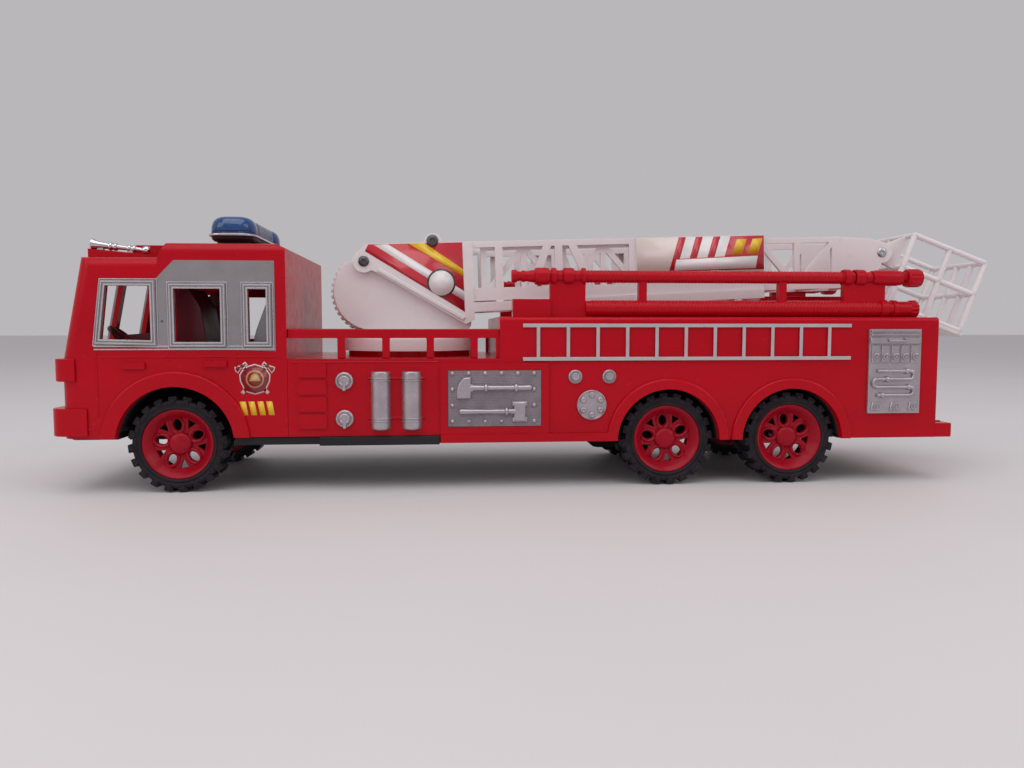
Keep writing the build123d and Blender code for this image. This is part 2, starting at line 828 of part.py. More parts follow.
# Hose racks along the top of the box
def tube_piece(front, length, radius, z):
    """Return a length of round hose along the left rack."""
    return Pos(at(front + length / 2), hose_y, z) * Rot(0, 90, 0) * Cylinder(radius, length)


def hose_rack():
    """Return the left-hand rack: an upper and a lower hose on posts and brackets."""
    ring = hose_radius + ring_proud
    thin_front = hose_front + nozzle_length
    lower_front = first_post[0] + first_post[1]
    rear_front = last_post[0]
    thick_front = rear_front + rear_thick
    pieces = [tube_piece(hose_front, nozzle_length, nozzle_tip, hose_high),
              tube_piece(hose_front, nozzle_lip_length, nozzle_tip + nozzle_lip, hose_high),
              tube_piece(thin_front, thick_front - thin_front, hose_thin, hose_high),
              tube_piece(thick_front, hose_rear - rear_cap - thick_front, hose_radius, hose_high),
              tube_piece(hose_rear - rear_cap + cap_neck, rear_cap - cap_neck, ring, hose_high),
              tube_piece(hose_rear - rear_cap, cap_neck, nozzle_tip, hose_high)]
    pieces.extend(tube_piece(hose_front + s, length, hose_sleeve, hose_high) for s, length in front_rings)
    pieces.extend(tube_piece(rear_front + s, length, hose_sleeve, hose_high) for s, length in rear_rings)
    pieces.append(Pos(at(hose_front + nozzle_length / 2), hose_y, hose_high) * Rot(0, 90, 0)
                  * Cone(hose_thin, nozzle_tip, nozzle_length))
    web_a, web_b = hose_y - rack_web / 2, hose_y + rack_web / 2
    for front, length in [first_post] + thin_posts + [last_post]:
        pieces.append(block(front, front + length, web_a, web_b, box_top, hose_high))
    low_z = box_top + low_hose_radius
    pieces.append(tube_piece(lower_front, low_hose_end - lower_front, low_hose_radius, low_z))
    pieces.append(block(lower_front, low_hose_end, web_a, web_b, box_top, low_z))
    pieces.append(block(hose_front, hose_front + rack_block, hose_y - hose_radius, hose_y + hose_radius,
                        box_top, box_top + rack_block_height))
    pieces.append(block(hose_front, first_post[0], web_a, web_b, box_top, box_top + rack_web))
    return fuse(pieces[0], pieces[1:])


keep("hose_rack_left", hose_rack())
keep("hose_rack_right", mirror(hose_rack(), about=Plane.XZ))

# Rear bumper, door and lamps
keep("rear_bumper", block(box_rear, body_length, -half, half, sill_bottom, sill_bottom + rear_step_height))
door = block(box_rear, box_rear + door_proud, -door_half, door_half, door_low, door_high)
door_pitch = (door_high - door_low - 2 * door_edge) / door_slats
for index in range(door_slats):
    slat_low = door_low + door_edge + door_pitch * index
    door = door - block(box_rear + door_proud / 2, body_length, door_edge - door_half,
                        door_half - door_edge, slat_low, slat_low + door_pitch * slat_cut)
keep("rear_shutter", door)
tail = block(box_rear, box_rear + tail_lamp_proud, tail_lamp_y - tail_lamp_width / 2,
             tail_lamp_y + tail_lamp_width / 2, tail_lamp_low, tail_lamp_low + tail_lamp_height)
keep("tail_lamps", *both_sides(tail))

# Chassis plate with wheel clearances and axle carriers
plate_low = plate_top - plate_thickness
cab_plate_half = half - plate_edge
inner_half = half - wall - set_gap
nose_rear = front_axle - front_arch
nose_low = cab_bottom - nose_drop
nose_high = nose_low + plate_thickness
plate = block(nose_rear, sill_front, -cab_plate_half, cab_plate_half, plate_low, plate_top)
plate = plate + block(sill_front, box_rear - wall - set_gap, -inner_half, inner_half, plate_low, plate_top)
axles = {"front": (front_axle, front_arch), "middle": (middle_axle, rear_arch),
         "rear": (rear_axle, rear_arch)}
for station, arch in axles.values():
    for side in (-1, 1):
        plate = plate - block(station - arch, station + arch, side * spine_half, side * body_width, 0,
                              deck_top)
    plate = plate - block(station - axle_radius - axle_slot, station + axle_radius + axle_slot, -spine_half,
                          spine_half, 0, deck_top)
    for side in (-1, 1):
        carrier = block(station - carrier_length / 2, station + carrier_length / 2,
                        side * (spine_half - carrier_width), side * spine_half,
                        axle_z - axle_radius - carrier_wall, axle_z + axle_radius + carrier_wall)
        plate = plate + carrier
    plate = plate - cross_rod(station, axle_z, axle_radius + axle_running, -half, half)
nose = plan_prism(cab_front + wall + set_gap, nose_rear, inner_half, nose_low, nose_high, cab_corner - wall)
step = block(nose_rear - plate_thickness, nose_rear + plate_thickness, -spine_half, spine_half, plate_low,
             nose_high)
keep("chassis_plate", fuse(plate, [nose, step]))
keep("side_steps", *both_sides(block(step_front, step_rear, cab_plate_half + set_gap, half + step_reach,
                                     cab_bottom - step_height, cab_bottom - set_gap)))
motor = block(motor_front, motor_front + motor_length, -motor_half, motor_half,
              plate_low - motor_depth, plate_low)
keep("motor_housing", chamfer(motor.faces().sort_by(Axis.Z)[0].edges(), motor_edge))

# Wheels and the turret's drum share one toothed form
def gear_band(root, tip, teeth, share, turn, width):
    """Return a toothed band along Y, centred on its own middle."""
    points = []
    step = 2 * pi / teeth
    for index in range(teeth):
        start = step * index + turn
        for radius, angle in ((root, start), (tip, start), (tip, start + step * share),
                              (root, start + step * share)):
            points.append((radius * cos(angle), radius * sin(angle)))
    return extrude(Plane.XZ * Polygon(*points, align=None), amount=width / 2, both=True)


# Turntable disc and turret
inner = ladder_half - side_plate
cheek_half = inner - free_gap
table_low = deck_top + table_lift
deck_mid = Pos(at(table_station), 0, 0)
table_mid = table_low + table_height / 2
step_mid = table_low + table_height + table_step / 2
keep("turntable_disc", deck_mid * Pos(0, 0, table_mid) * Cylinder(table_radius, table_height)
     + deck_mid * Pos(0, 0, step_mid) * Cylinder(table_step_radius, table_step))
cheek_outline = [(drum_station, turret_low), (cheek_rear, turret_low),
                 (cheek_rear, turret_low + cheek_low_face),
                 (pivot_station + heel_boss, pivot_height), (pivot_station - heel_boss, pivot_height),
                 (drum_station - drum_round, drum_height)]
drum_place = Pos(at(drum_station), 0, drum_height)
drum = drum_place * gear_band(ratchet_radius - ratchet_tooth, ratchet_radius, ratchet_teeth,
                              ratchet_share, 0, 2 * ratchet_half)
round_cheek = cross_rod(drum_station, drum_height, drum_round, -cheek_half, cheek_half)
drum = (drum + round_cheek) & block(0, drum_station, -half, half, turret_low, pivot_height)
cheek = side_prism(cheek_outline, -cheek_half, cheek_half)
foot_corner = cheek.edges().filter_by(Axis.Y).group_by(Axis.Z)[0].sort_by(Axis.X)[0]
cheek = fillet(foot_corner, cheek_corner)
turret = fuse(cheek, [drum, cross_rod(pivot_station, pivot_height, heel_boss, -cheek_half, cheek_half)])
turret = turret - cross_rod(pivot_station, pivot_height, pin_radius + seat_clearance, -half, half)
keep("turret", turret)
keep("ladder_pin", cross_rod(pivot_station, pivot_height, pin_radius, -ladder_half, ladder_half)
     + cross_rod(pivot_station, pivot_height, pin_head, ladder_half, ladder_half + pin_head_depth)
     + cross_rod(pivot_station, pivot_height, pin_head, -ladder_half - pin_head_depth, -ladder_half))


# Ladder pieces, drawn level about the heel pin and then tilted into place
def run_prism(points, y_low, y_high):
    """Extrude an outline of back-and-up points of the ladder's own frame."""
    outline = Polyline(*[(-u, y_low, w) for u, w in points], close=True)
    return extrude(make_face(outline), amount=y_high - y_low, dir=(0, 1, 0))


def bar(start, end, width, y_low, y_high):
    """Return a flat bar of the truss between two points of the ladder's own frame."""
    (u_a, w_a), (u_b, w_b) = start, end
    length = ((u_b - u_a) ** 2 + (w_b - w_a) ** 2) ** 0.5
    du = (w_a - w_b) / length * width / 2
    dw = (u_b - u_a) / length * width / 2
    corners = [(u_a + du, w_a + dw), (u_b + du, w_b + dw), (u_b - du, w_b - dw), (u_a - du, w_a - dw)]
    return run_prism(corners, y_low, y_high)


def on_ladder(shape):
    """Tilt a piece drawn about the heel pin to the stowed ladder's slope."""
    return Pos(at(pivot_station), 0, pivot_height) * Rot(0, ladder_rise, 0) * shape


def rod_at(u, w, radius, y_low, y_high):
    """Return a round bar across the ladder at a point of its own frame."""
    return Pos(-u, (y_low + y_high) / 2, w) * Rot(90, 0, 0) * Cylinder(radius, y_high - y_low)


def between(line, u):
    """Return the height of a straight line of two back-and-up points at a distance back."""
    (u_a, w_a), (u_b, w_b) = line
    return w_a + (w_b - w_a) * (u - u_a) / (u_b - u_a)


def base_side():
    """Return the left side of the outer ladder: heel plate, rails, truss and plain banner."""
    low_mid = [(u, w + base_rail / 2) for u, w in base_low]
    high_mid = base_high - top_rail / 2
    truss_y = (inner, inner + truss_thick)
    pieces = [rod_at(0, 0, heel_boss, inner, ladder_half),
              rod_at(lug_screw_back, base_high, lug_screw_radius, inner, ladder_half),
              bar((truss_front, high_mid), (base_back, high_mid), top_rail, *truss_y),
              bar(low_mid[0], low_mid[1], base_rail, inner, ladder_half),
              run_prism([(truss_front, strip_low), (base_back, strip_low), (base_back, strip_high),
                         (truss_front, strip_high)], *truss_y)]
    for u_low, u_high in truss_bars:
        pieces.append(bar((u_low, between(low_mid, u_low)), (u_high, high_mid), truss_bar, *truss_y))
    banner = [(banner_front, banner_low), (base_back, banner_low), (base_back, base_high),
              (banner_front, base_high)]
    pieces.append(run_prism(banner, inner + truss_thick, inner + truss_thick + banner_thick))
    side = fuse(run_prism(heel_outline, inner, ladder_half), pieces)
    return side - rod_at(0, 0, pin_radius + axle_running, -half, half)


def rungs_between(first, last, count, height, radius, reach):
    """Return evenly spaced rungs, each a solid of its own pressed between the two sides."""
    pitch = (last - first) / (count - 1)
    places = [first + pitch * n for n in range(count)]
    return [rod_at(u, height(u), radius, -reach, reach) for u in places]


heel_rear = heel_outline[3][0]
heel_cover = run_prism([(heel_cover_front, base_high - heel_web), (heel_rear, base_high - heel_web),
                        (heel_rear, base_high), (heel_cover_front, base_high)], -inner, inner)


def base_rung_height(u):
    """Return the height of the outer ladder's rungs at a distance back."""
    return between(base_low, u) + base_rail / 2 - rung_drop


base_rungs_set = rungs_between(base_rung_first, base_rung_last, base_rungs, base_rung_height, rung_radius,
                               inner)
base_pieces = both_sides(base_side()) + [heel_cover] + base_rungs_set
keep("ladder_base", *[on_ladder(shape) for shape in base_pieces])

ext_outer = inner - free_gap
ext_inner = ext_outer - extension_plate


def extension_side():
    """Return the left side of the inner ladder: rails, truss and the plate that holds the basket's pin."""
    low_mid = extension_low + extension_rail / 2
    high_mid = extension_high - extension_rail / 2
    plate_front = extension_back - tip_plate
    thick = (ext_inner, ext_outer)
    tip_outline = [(plate_front, extension_low), (extension_back, extension_low),
                   (tip_pin_back, tip_pin_up - tip_boss), (tip_pin_back, tip_pin_up + tip_boss),
                   (extension_back, extension_high - tip_plate_drop), (plate_front, extension_high)]
    pieces = [bar((extension_front, low_mid), (extension_back, low_mid), extension_rail, *thick),
              run_prism(tip_outline, *thick), rod_at(tip_pin_back, tip_pin_up, tip_boss, *thick)]
    pitch = (plate_front - extension_front - extension_bar) / extension_bays
    for index in range(extension_bays + 1):
        u = extension_front + extension_bar / 2 + pitch * index
        pieces.append(bar((u, low_mid), (u, high_mid), extension_bar, *thick))
        if index < extension_bays:
            ends = (low_mid, high_mid) if index % 2 == 0 else (high_mid, low_mid)
            pieces.append(bar((u, ends[0]), (u + pitch, ends[1]), extension_bar, *thick))
    top_end = plate_front + tip_plate_drop
    side = fuse(bar((extension_front, high_mid), (top_end, high_mid), extension_rail, *thick), pieces)
    return side - rod_at(tip_pin_back, tip_pin_up, tip_pin_radius + seat_clearance, -half, half)


def extension_rung_height(u):
    """Return the height of the inner ladder's rungs, the same all along."""
    return extension_low + extension_rail / 2


extension_rungs_set = rungs_between(extension_front + extension_rail, extension_back - extension_rail,
                                    extension_rungs, extension_rung_height, extension_rung_radius, ext_inner)
extension_pieces = both_sides(extension_side()) + extension_rungs_set
keep("ladder_extension", *[on_ladder(shape) for shape in extension_pieces])
keep("basket_pin", on_ladder(rod_at(tip_pin_back, tip_pin_up, tip_pin_radius, -ext_outer, ext_outer)))


# Basket, drawn level about its pin and then hung at its stored tilt
def basket_bar_box(u_a, u_b, y_a, y_b, w_a, w_b):
    """Return a box of the basket's own frame."""
    size = (abs(u_b - u_a), abs(y_b - y_a), abs(w_b - w_a))
    return Pos(-(u_a + u_b) / 2, (y_a + y_b) / 2, (w_a + w_b) / 2) * Box(*size)


edge = basket_half - basket_bar
cage = [basket_bar_box(basket_front, basket_back, -basket_half, basket_half, basket_low,
                       basket_low + basket_floor)]
for y_a, y_b in ((edge, basket_half), (-basket_half, -edge)):
    for w in (basket_high - basket_bar, basket_mid):
        cage.append(basket_bar_box(basket_front, basket_back, y_a, y_b, w, w + basket_bar))
    for u in (basket_front, basket_front + (basket_length - basket_bar) / 2, basket_back - basket_bar):
        cage.append(basket_bar_box(u, u + basket_bar, y_a, y_b, basket_low, basket_high))
for u in (basket_front, basket_back - basket_bar):
    for w in (basket_high - basket_bar, basket_mid):
        cage.append(basket_bar_box(u, u + basket_bar, -basket_half, basket_half, w, w + basket_bar))
    for y in (-basket_bar / 2, basket_half / 2, -basket_half / 2 - basket_bar):
        cage.append(basket_bar_box(u, u + basket_bar, y, y + basket_bar, basket_low, basket_high))
ear_outer = ext_inner - free_gap
ear_inner = ear_outer - basket_ear
for y_a, y_b in ((ear_inner, ear_outer), (-ear_outer, -ear_inner)):
    ear_end = basket_front + basket_bar / 2
    ear = run_prism([(0, -ear_boss), (ear_end, basket_mid), (ear_end, basket_high), (0, ear_boss)], y_a, y_b)
    cage.append(ear + rod_at(0, 0, ear_boss, y_a, y_b))
basket = fuse(cage[0], cage[1:])
basket = basket - rod_at(0, 0, tip_pin_radius + axle_running, -half, half)
keep("rescue_basket", Pos(at(tip_pin_station), 0, tip_pin_z) * Rot(0, -basket_tilt, 0) * basket)

# Rest that carries the stowed ladder, its top a little below the outer ladder's low rail
rest_back = (rest_outline[1][0] - pivot_station) / cos(rise)
rest_top = pivot_height + rest_back * sin(rise) + between(base_low, rest_back) * cos(rise)
rest_points = [(s, rest_top + up if up else box_top) for s, up in rest_outline]
keep("ladder_rest", side_prism(rest_points, -rest_half, rest_half))


# Wheels: lugged tyre, spoked rim and a steel axle for each pair
def tyre():
    """Return one tyre about its own centre."""
    root = tyre_radius - lug_height
    shoulder = tyre_width * shoulder_share
    step = 2 * pi / lug_count
    offset = (tyre_width - shoulder) / 2
    outer = Pos(0, offset, 0) * gear_band(root, tyre_radius, lug_count, lug_share, 0, shoulder)
    inner_band = Pos(0, -offset, 0) * gear_band(root, tyre_radius, lug_count, lug_share, step / 2, shoulder)
    core = Rot(90, 0, 0) * Cylinder(root, tyre_width - shoulder)
    bore = Rot(90, 0, 0) * Cylinder(rim_radius + seat_clearance, 2 * tyre_width)
    return (outer + inner_band + core) - bore


rim_half = (tyre_width - rim_inset) / 2
face_out = rim_half - rim_dish
hub_out = face_out + hub_proud


def rim():
    """Return one rim about the tyre's centre, its face to +Y."""
    barrel = Rot(90, 0, 0) * Cylinder(rim_radius, 2 * rim_half)
    barrel = barrel - Rot(90, 0, 0) * Cylinder(rim_radius - rim_ring, 2 * tyre_width)
    face_y = face_out - rim_face / 2
    face = Pos(0, face_y, 0) * Rot(90, 0, 0) * Cylinder(rim_radius - rim_ring / 2, rim_face)
    turn = 360.0 / spokes
    reach, long_half, short_half = spoke_oval
    notch_in, notch_out, notch_half = spoke_notch
    for index in range(spokes):
        slot = Plane.XZ * Rot(0, 0, turn * index) * Pos(reach, 0) * Ellipse(long_half, short_half)
        face = face - Pos(0, face_y, 0) * extrude(slot, amount=rim_face, both=True)
        notch = Plane.XZ * Rot(0, 0, turn * (index + 0.5)) * Polygon(
            (notch_in, 0), (notch_out, notch_half), (notch_out, -notch_half), align=None)
        face = face - Pos(0, face_y, 0) * extrude(notch, amount=rim_face, both=True)
    hub = Pos(0, hub_out - hub_length / 2, 0) * Rot(90, 0, 0) * Cylinder(hub_radius, hub_length)
    bore_length = hub_length - hub_cap
    bore = Pos(0, hub_out - hub_cap - bore_length / 2, 0) * Rot(90, 0, 0) * Cylinder(
        axle_radius + seat_clearance, bore_length)
    return barrel + face + hub - bore


wheel_mid = wheel_outer - tyre_width / 2
axle_end = wheel_mid + hub_out - hub_cap - axle_end_gap
tyre_shape = tyre()
rim_shape = rim()
for name, (station, arch) in axles.items():
    place = Pos(at(station), wheel_mid, axle_z)
    left_tyre = place * tyre_shape
    left_rim = place * rim_shape
    keep(f"tyre_{name}_left", left_tyre)
    keep(f"tyre_{name}_right", mirror(left_tyre, about=Plane.XZ))
    keep(f"rim_{name}_left", left_rim)
    keep(f"rim_{name}_right", mirror(left_rim, about=Plane.XZ))
    keep(f"axle_{name}", cross_rod(station, axle_z, axle_radius, -axle_end, axle_end))

os.makedirs("parts", exist_ok=True)
for name, shape in parts.items():
    export_step(shape, f"parts/{name}.step")
print(len(parts), "nodes; front", round(front_x, 3), "pivot x", round(at(pivot_station), 3),
      "tip pin x", round(at(tip_pin_station), 3), "tip pin z", round(tip_pin_z, 3))
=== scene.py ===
"""Looks of a moulded toy ladder fire truck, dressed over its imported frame."""

import json
import logging
from dataclasses import dataclass
from enum import Enum
from math import asin, cos, hypot, pi, radians, sin
from typing import Iterable, Sequence

import bmesh
import bpy
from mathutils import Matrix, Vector
from mathutils.geometry import tessellate_polygon

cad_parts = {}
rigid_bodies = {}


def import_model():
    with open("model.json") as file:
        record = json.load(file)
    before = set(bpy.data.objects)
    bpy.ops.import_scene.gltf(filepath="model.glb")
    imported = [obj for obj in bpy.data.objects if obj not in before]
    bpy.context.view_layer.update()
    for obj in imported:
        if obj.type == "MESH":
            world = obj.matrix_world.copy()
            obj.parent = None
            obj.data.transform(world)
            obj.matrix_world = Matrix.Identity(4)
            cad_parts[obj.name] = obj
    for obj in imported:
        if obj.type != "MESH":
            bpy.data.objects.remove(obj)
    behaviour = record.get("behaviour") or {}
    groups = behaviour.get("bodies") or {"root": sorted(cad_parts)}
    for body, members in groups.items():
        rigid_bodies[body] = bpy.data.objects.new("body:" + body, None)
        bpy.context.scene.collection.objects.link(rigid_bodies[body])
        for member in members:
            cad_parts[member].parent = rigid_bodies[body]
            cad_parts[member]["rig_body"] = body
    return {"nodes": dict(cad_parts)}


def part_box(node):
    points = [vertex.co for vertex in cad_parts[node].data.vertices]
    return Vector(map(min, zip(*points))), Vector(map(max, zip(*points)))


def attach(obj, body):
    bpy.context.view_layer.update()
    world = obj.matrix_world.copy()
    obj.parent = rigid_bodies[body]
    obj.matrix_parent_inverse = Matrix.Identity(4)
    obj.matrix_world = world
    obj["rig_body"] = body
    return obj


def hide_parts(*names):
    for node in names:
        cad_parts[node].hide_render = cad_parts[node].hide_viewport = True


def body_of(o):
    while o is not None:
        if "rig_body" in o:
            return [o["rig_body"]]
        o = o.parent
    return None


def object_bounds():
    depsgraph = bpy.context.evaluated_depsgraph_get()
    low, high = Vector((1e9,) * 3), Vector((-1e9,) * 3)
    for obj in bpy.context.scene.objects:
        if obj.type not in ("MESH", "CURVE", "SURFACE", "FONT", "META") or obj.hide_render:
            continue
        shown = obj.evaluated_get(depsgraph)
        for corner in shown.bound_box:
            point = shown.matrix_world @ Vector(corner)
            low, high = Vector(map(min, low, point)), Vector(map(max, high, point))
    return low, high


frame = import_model()
CAD_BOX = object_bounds()

log = logging.getLogger("fire_truck")
MM = 0.001
Colour = tuple[float, float, float]
Flat = tuple[float, float]
Outline = tuple[Flat, ...]
Solid = tuple[float, float, float]
Socket = bpy.types.NodeSocket


class Side(Enum):
    """The truck's left and right, as the sign of Y."""

    LEFT = 1
    RIGHT = -1

    @property
    def tag(self) -> str:
        """The word that ends a node's or a piece's name on this side."""
        return self.name.lower()


class Slot(Enum):
    """The record's material slots."""

    BODY_RED = "body_red"
    LADDER_WHITE = "ladder_white"
    PANEL_GREY = "panel_grey"
    DETAIL_SILVER = "detail_silver"
    BRIGHT_CHROME = "bright_chrome"
    LENS_BLUE = "lens_blue"
    LENS_CLEAR = "lens_clear"
    LENS_AMBER = "lens_amber"
    CHASSIS_BLACK = "chassis_black"
    TYRE_BLACK = "tyre_black"
    WHEEL_RED = "wheel_red"
    SEAT_DARK_RED = "seat_dark_red"
    BENCH_GREY = "bench_grey"
    PIN_STEEL = "pin_steel"


# Node trees


class NodeBench:
    """One material's node tree, with short ways to add nodes and join them."""

    def __init__(self, name: str) -> None:
        """Start a material with a plain surface shader.

        Args:
            name: The material's name.
        """
        self.material = bpy.data.materials.new(name)
        self.material.use_nodes = True
        self.tree = self.material.node_tree
        self.tree.nodes.clear()
        output = self.tree.nodes.new("ShaderNodeOutputMaterial")
        self.shader = self.tree.nodes.new("ShaderNodeBsdfPrincipled")
        self.join(self.shader.outputs["BSDF"], output.inputs["Surface"])
        self.coordinates = self.tree.nodes.new("ShaderNodeTexCoord")

    def join(self, source: Socket, target: Socket) -> None:
        """Link one socket to another."""
        self.tree.links.new(source, target)

    def set(self, **values: float | Solid) -> None:
        """Set the shader's own sockets.

        Args:
            values: Socket names with spaces as underscores, each with its number or vector.
        """
        for name, value in values.items():
            self.shader.inputs[name.replace("_", " ")].default_value = value

    def noise(self, size: float, detail: float = 2.0, stretch: Solid = (1, 1, 1)) -> Socket:
        """Add a noise whose features have a given size.

        Args:
            size: Feature size in millimetres.
            detail: Levels of finer noise.
            stretch: Scale of each axis before the noise.

        Returns:
            The noise's factor.
        """
        mapping = self.tree.nodes.new("ShaderNodeMapping")
        mapping.inputs["Scale"].default_value = stretch
        self.join(self.coordinates.outputs["Object"], mapping.inputs["Vector"])
        node = self.tree.nodes.new("ShaderNodeTexNoise")
        node.inputs["Scale"].default_value = 1 / (size * MM)
        node.inputs["Detail"].default_value = detail
        self.join(mapping.outputs["Vector"], node.inputs["Vector"])
        return node.outputs["Fac"]

    def flecks(self, size: float) -> Socket:
        """Add small cells of random grey, such as metal flake.

        Args:
            size: Cell size in millimetres.

        Returns:
            A colour that is even within each cell.
        """
        node = self.tree.nodes.new("ShaderNodeTexVoronoi")
        node.inputs["Scale"].default_value = 1 / (size * MM)
        self.join(self.coordinates.outputs["Object"], node.inputs["Vector"])
        return node.outputs["Color"]

    def grid(self, pitch: float) -> Socket:
        """Add a square weave in the truck's side plane.

        Args:
            pitch: Width of one square in millimetres.

        Returns:
            A height, low in the lines between the squares.
        """
        split = self.tree.nodes.new("ShaderNodeSeparateXYZ")
        self.join(self.coordinates.outputs["Object"], split.inputs[0])
        waves = []
        for axis in ("X", "Z"):
            turns = self.calculate("MULTIPLY", split.outputs[axis], 2 * pi / (pitch * MM))
            waves.append(self.calculate("SINE", turns))
        return self.calculate("MAXIMUM", waves[0], waves[1])

    def calculate(self, operation: str, first: Socket,
                  second: Socket | float = 0.0) -> Socket:
        """Add a math node.

        Args:
            operation: The node's operation.
            first: The first value.
            second: The second value, or a number.

        Returns:
            The result.
        """
        node = self.tree.nodes.new("ShaderNodeMath")
        node.operation = operation
        self.join(first, node.inputs[0])
        if isinstance(second, (int, float)):
            node.inputs[1].default_value = second
        else:
            self.join(second, node.inputs[1])
        return node.outputs[0]

    def span(self, value: Socket, low: float, high: float,
             start: float = 0.3, end: float = 0.7) -> Socket:
        """Map a factor onto a range.

        Args:
            value: The factor.
            low: The result at the start.
            high: The result at the end.
            start: The factor that gives low.
            end: The factor that gives high.

        Returns:
            The mapped value.
        """
        node = self.tree.nodes.new("ShaderNodeMapRange")
        for name, number in (("From Min", start), ("From Max", end), ("To Min", low), ("To Max", high)):
            node.inputs[name].default_value = number
        self.join(value, node.inputs["Value"])
        return node.outputs["Result"]

    def blend(self, factor: Socket, first: Colour, second: Colour | Socket) -> Socket:
        """Mix two colours by a factor.

        Args:
            factor: 0 for the first colour and 1 for the second.
            first: The first colour.
            second: The second colour, or a socket that gives it.

        Returns:
            The mixed colour.
        """
        node = self.tree.nodes.new("ShaderNodeMix")
        node.data_type = "RGBA"
        low, high = node.inputs[6:8]
        low.default_value = (*first, 1)
        if isinstance(second, tuple):
            high.default_value = (*second, 1)
        else:
            self.join(second, high)
        self.join(factor, node.inputs[0])
        return node.outputs[2]

    def vary_colour(self, factor: Socket, first: Colour, second: Colour) -> None:
        """Let the shader's colour run from the first to the second by a factor."""
        self.join(self.blend(factor, first, second), self.shader.inputs["Base Color"])

    def vary_gloss(self, size: float, gloss: Flat, detail: float = 2.0) -> None:
        """Let the shader's roughness run over a range, in patches of a size in millimetres."""
        self.join(self.span(self.noise(size, detail), *gloss), self.shader.inputs["Roughness"])

    def bump(self, height: Socket, depth: float) -> None:
        """Give the shader a relief, over any relief it has.

        Args:
            height: The relief's height, from 0 to 1.
            depth: The height of 1 in millimetres.
        """
        node = self.tree.nodes.new("ShaderNodeBump")
        node.inputs["Strength"].default_value = 1.0
        node.inputs["Distance"].default_value = depth * MM
        self.join(height, node.inputs["Height"])
        socket = self.shader.inputs["Normal"]
        if socket.is_linked:
            self.join(socket.links[0].from_socket, node.inputs["Normal"])
        self.join(node.outputs["Normal"], socket)

    def facing_side(self) -> Socket:
        """Measure how far the surface faces the truck's left or right.

        Returns:
            A factor from 0 to 1.
        """
        split = self.tree.nodes.new("ShaderNodeSeparateXYZ")
        self.join(self.coordinates.outputs["Normal"], split.inputs[0])
        return self.calculate("ABSOLUTE", split.outputs["Y"])


# Finishes


@dataclass(frozen=True)
class Finish:
    """A surface finish, made into a material once."""

    name: str
    colour: Colour

    def material(self) -> bpy.types.Material:
        """Make the finish's material on its first use.

        Returns:
            The material.
        """
        found = bpy.data.materials.get(self.name)
        if found is None:
            bench = NodeBench(self.name)
            self.dress(bench)
            found = bench.material
        return found

    def dress(self, bench: NodeBench) -> None:
        """Build the finish's nodes.

        Args:
            bench: The material to fill.
        """
        raise NotImplementedError

    def darker(self, share: float) -> Colour:
        """Return the finish's colour, each part of it cut to a share."""
        return tuple(share * part for part in self.colour)


@dataclass(frozen=True)
class Moulded(Finish):
    """Injection-moulded plastic with faint flow marks and a soft skin."""

    shade: Colour = (0, 0, 0)
    gloss: Flat = (0.2, 0.32)
    skin: float = 0.002
    skin_size: float = 0.6
    flow_size: float = 18.0
    coat: float = 0.12
    shine: float = 0.35
    glow: float = 0.0

    def dress(self, bench: NodeBench) -> None:
        """Build flow marks in colour and gloss, and the skin's relief.

        Args:
            bench: The material to fill.
        """
        flow = bench.noise(self.flow_size, 3.0, (0.5, 1, 1.6))
        bench.vary_colour(bench.span(flow, 0, 1), self.colour, self.shade)
        bench.vary_gloss(self.flow_size / 4, self.gloss)
        bench.set(Coat_Weight=self.coat, Coat_Roughness=0.12, Specular_IOR_Level=self.shine)
        if self.glow:
            bench.set(Subsurface_Weight=self.glow, Subsurface_Radius=(1.0, 0.8, 0.8), Subsurface_Scale=2 * MM)
        bench.bump(bench.noise(self.skin_size, 1.0), self.skin)


@dataclass(frozen=True)
class Sprayed(Finish):
    """Silver paint sprayed on a moulding, with fine metal flake."""

    shade: Colour = (0, 0, 0)
    metal: float = 0.75
    gloss: Flat = (0.3, 0.42)
    flake_size: float = 0.12
    weave: float = 0.0
    under: Colour | None = None

    def dress(self, bench: NodeBench) -> None:
        """Build the flake, uneven spray and, where asked, a woven ground or bare edges.

        Args:
            bench: The material to fill.
        """
        grain = bench.span(bench.flecks(self.flake_size), 0, 0.5, 0, 1)
        cloud = bench.calculate("ADD", grain, bench.span(bench.noise(6.0, 3.0), 0, 0.5))
        paint = bench.blend(cloud, self.colour, self.shade)
        if self.under is None:
            bench.set(Metallic=self.metal)
        else:
            wear = bench.span(bench.noise(0.5, 2.0), -0.35, 0.35)
            cover = bench.span(bench.calculate("ADD", bench.facing_side(), wear), 0, 1, 0.45, 0.6)
            paint = bench.blend(cover, self.under, paint)
            bench.join(bench.span(cover, 0, self.metal, 0, 1), bench.shader.inputs["Metallic"])
        bench.join(paint, bench.shader.inputs["Base Color"])
        bench.vary_gloss(3.0, self.gloss)
        bench.bump(bench.noise(0.25, 1.0), 0.01)
        if self.weave:
            bench.bump(bench.span(bench.grid(self.weave), 0, 1, -1, 1), 0.1)


@dataclass(frozen=True)
class Plated(Finish):
    """Bright metal plating over plastic, a little wavy."""

    gloss: Flat = (0.06, 0.16)
    wave: float = 0.02

    def dress(self, bench: NodeBench) -> None:
        """Build the plating's uneven shine.

        Args:
            bench: The material to fill.
        """
        bench.set(Metallic=1.0)
        bench.vary_colour(bench.span(bench.noise(4.0), 0, 1), self.colour, self.darker(0.86))
        bench.vary_gloss(2.5, self.gloss, 3.0)
        bench.bump(bench.noise(1.8, 1.0), self.wave)


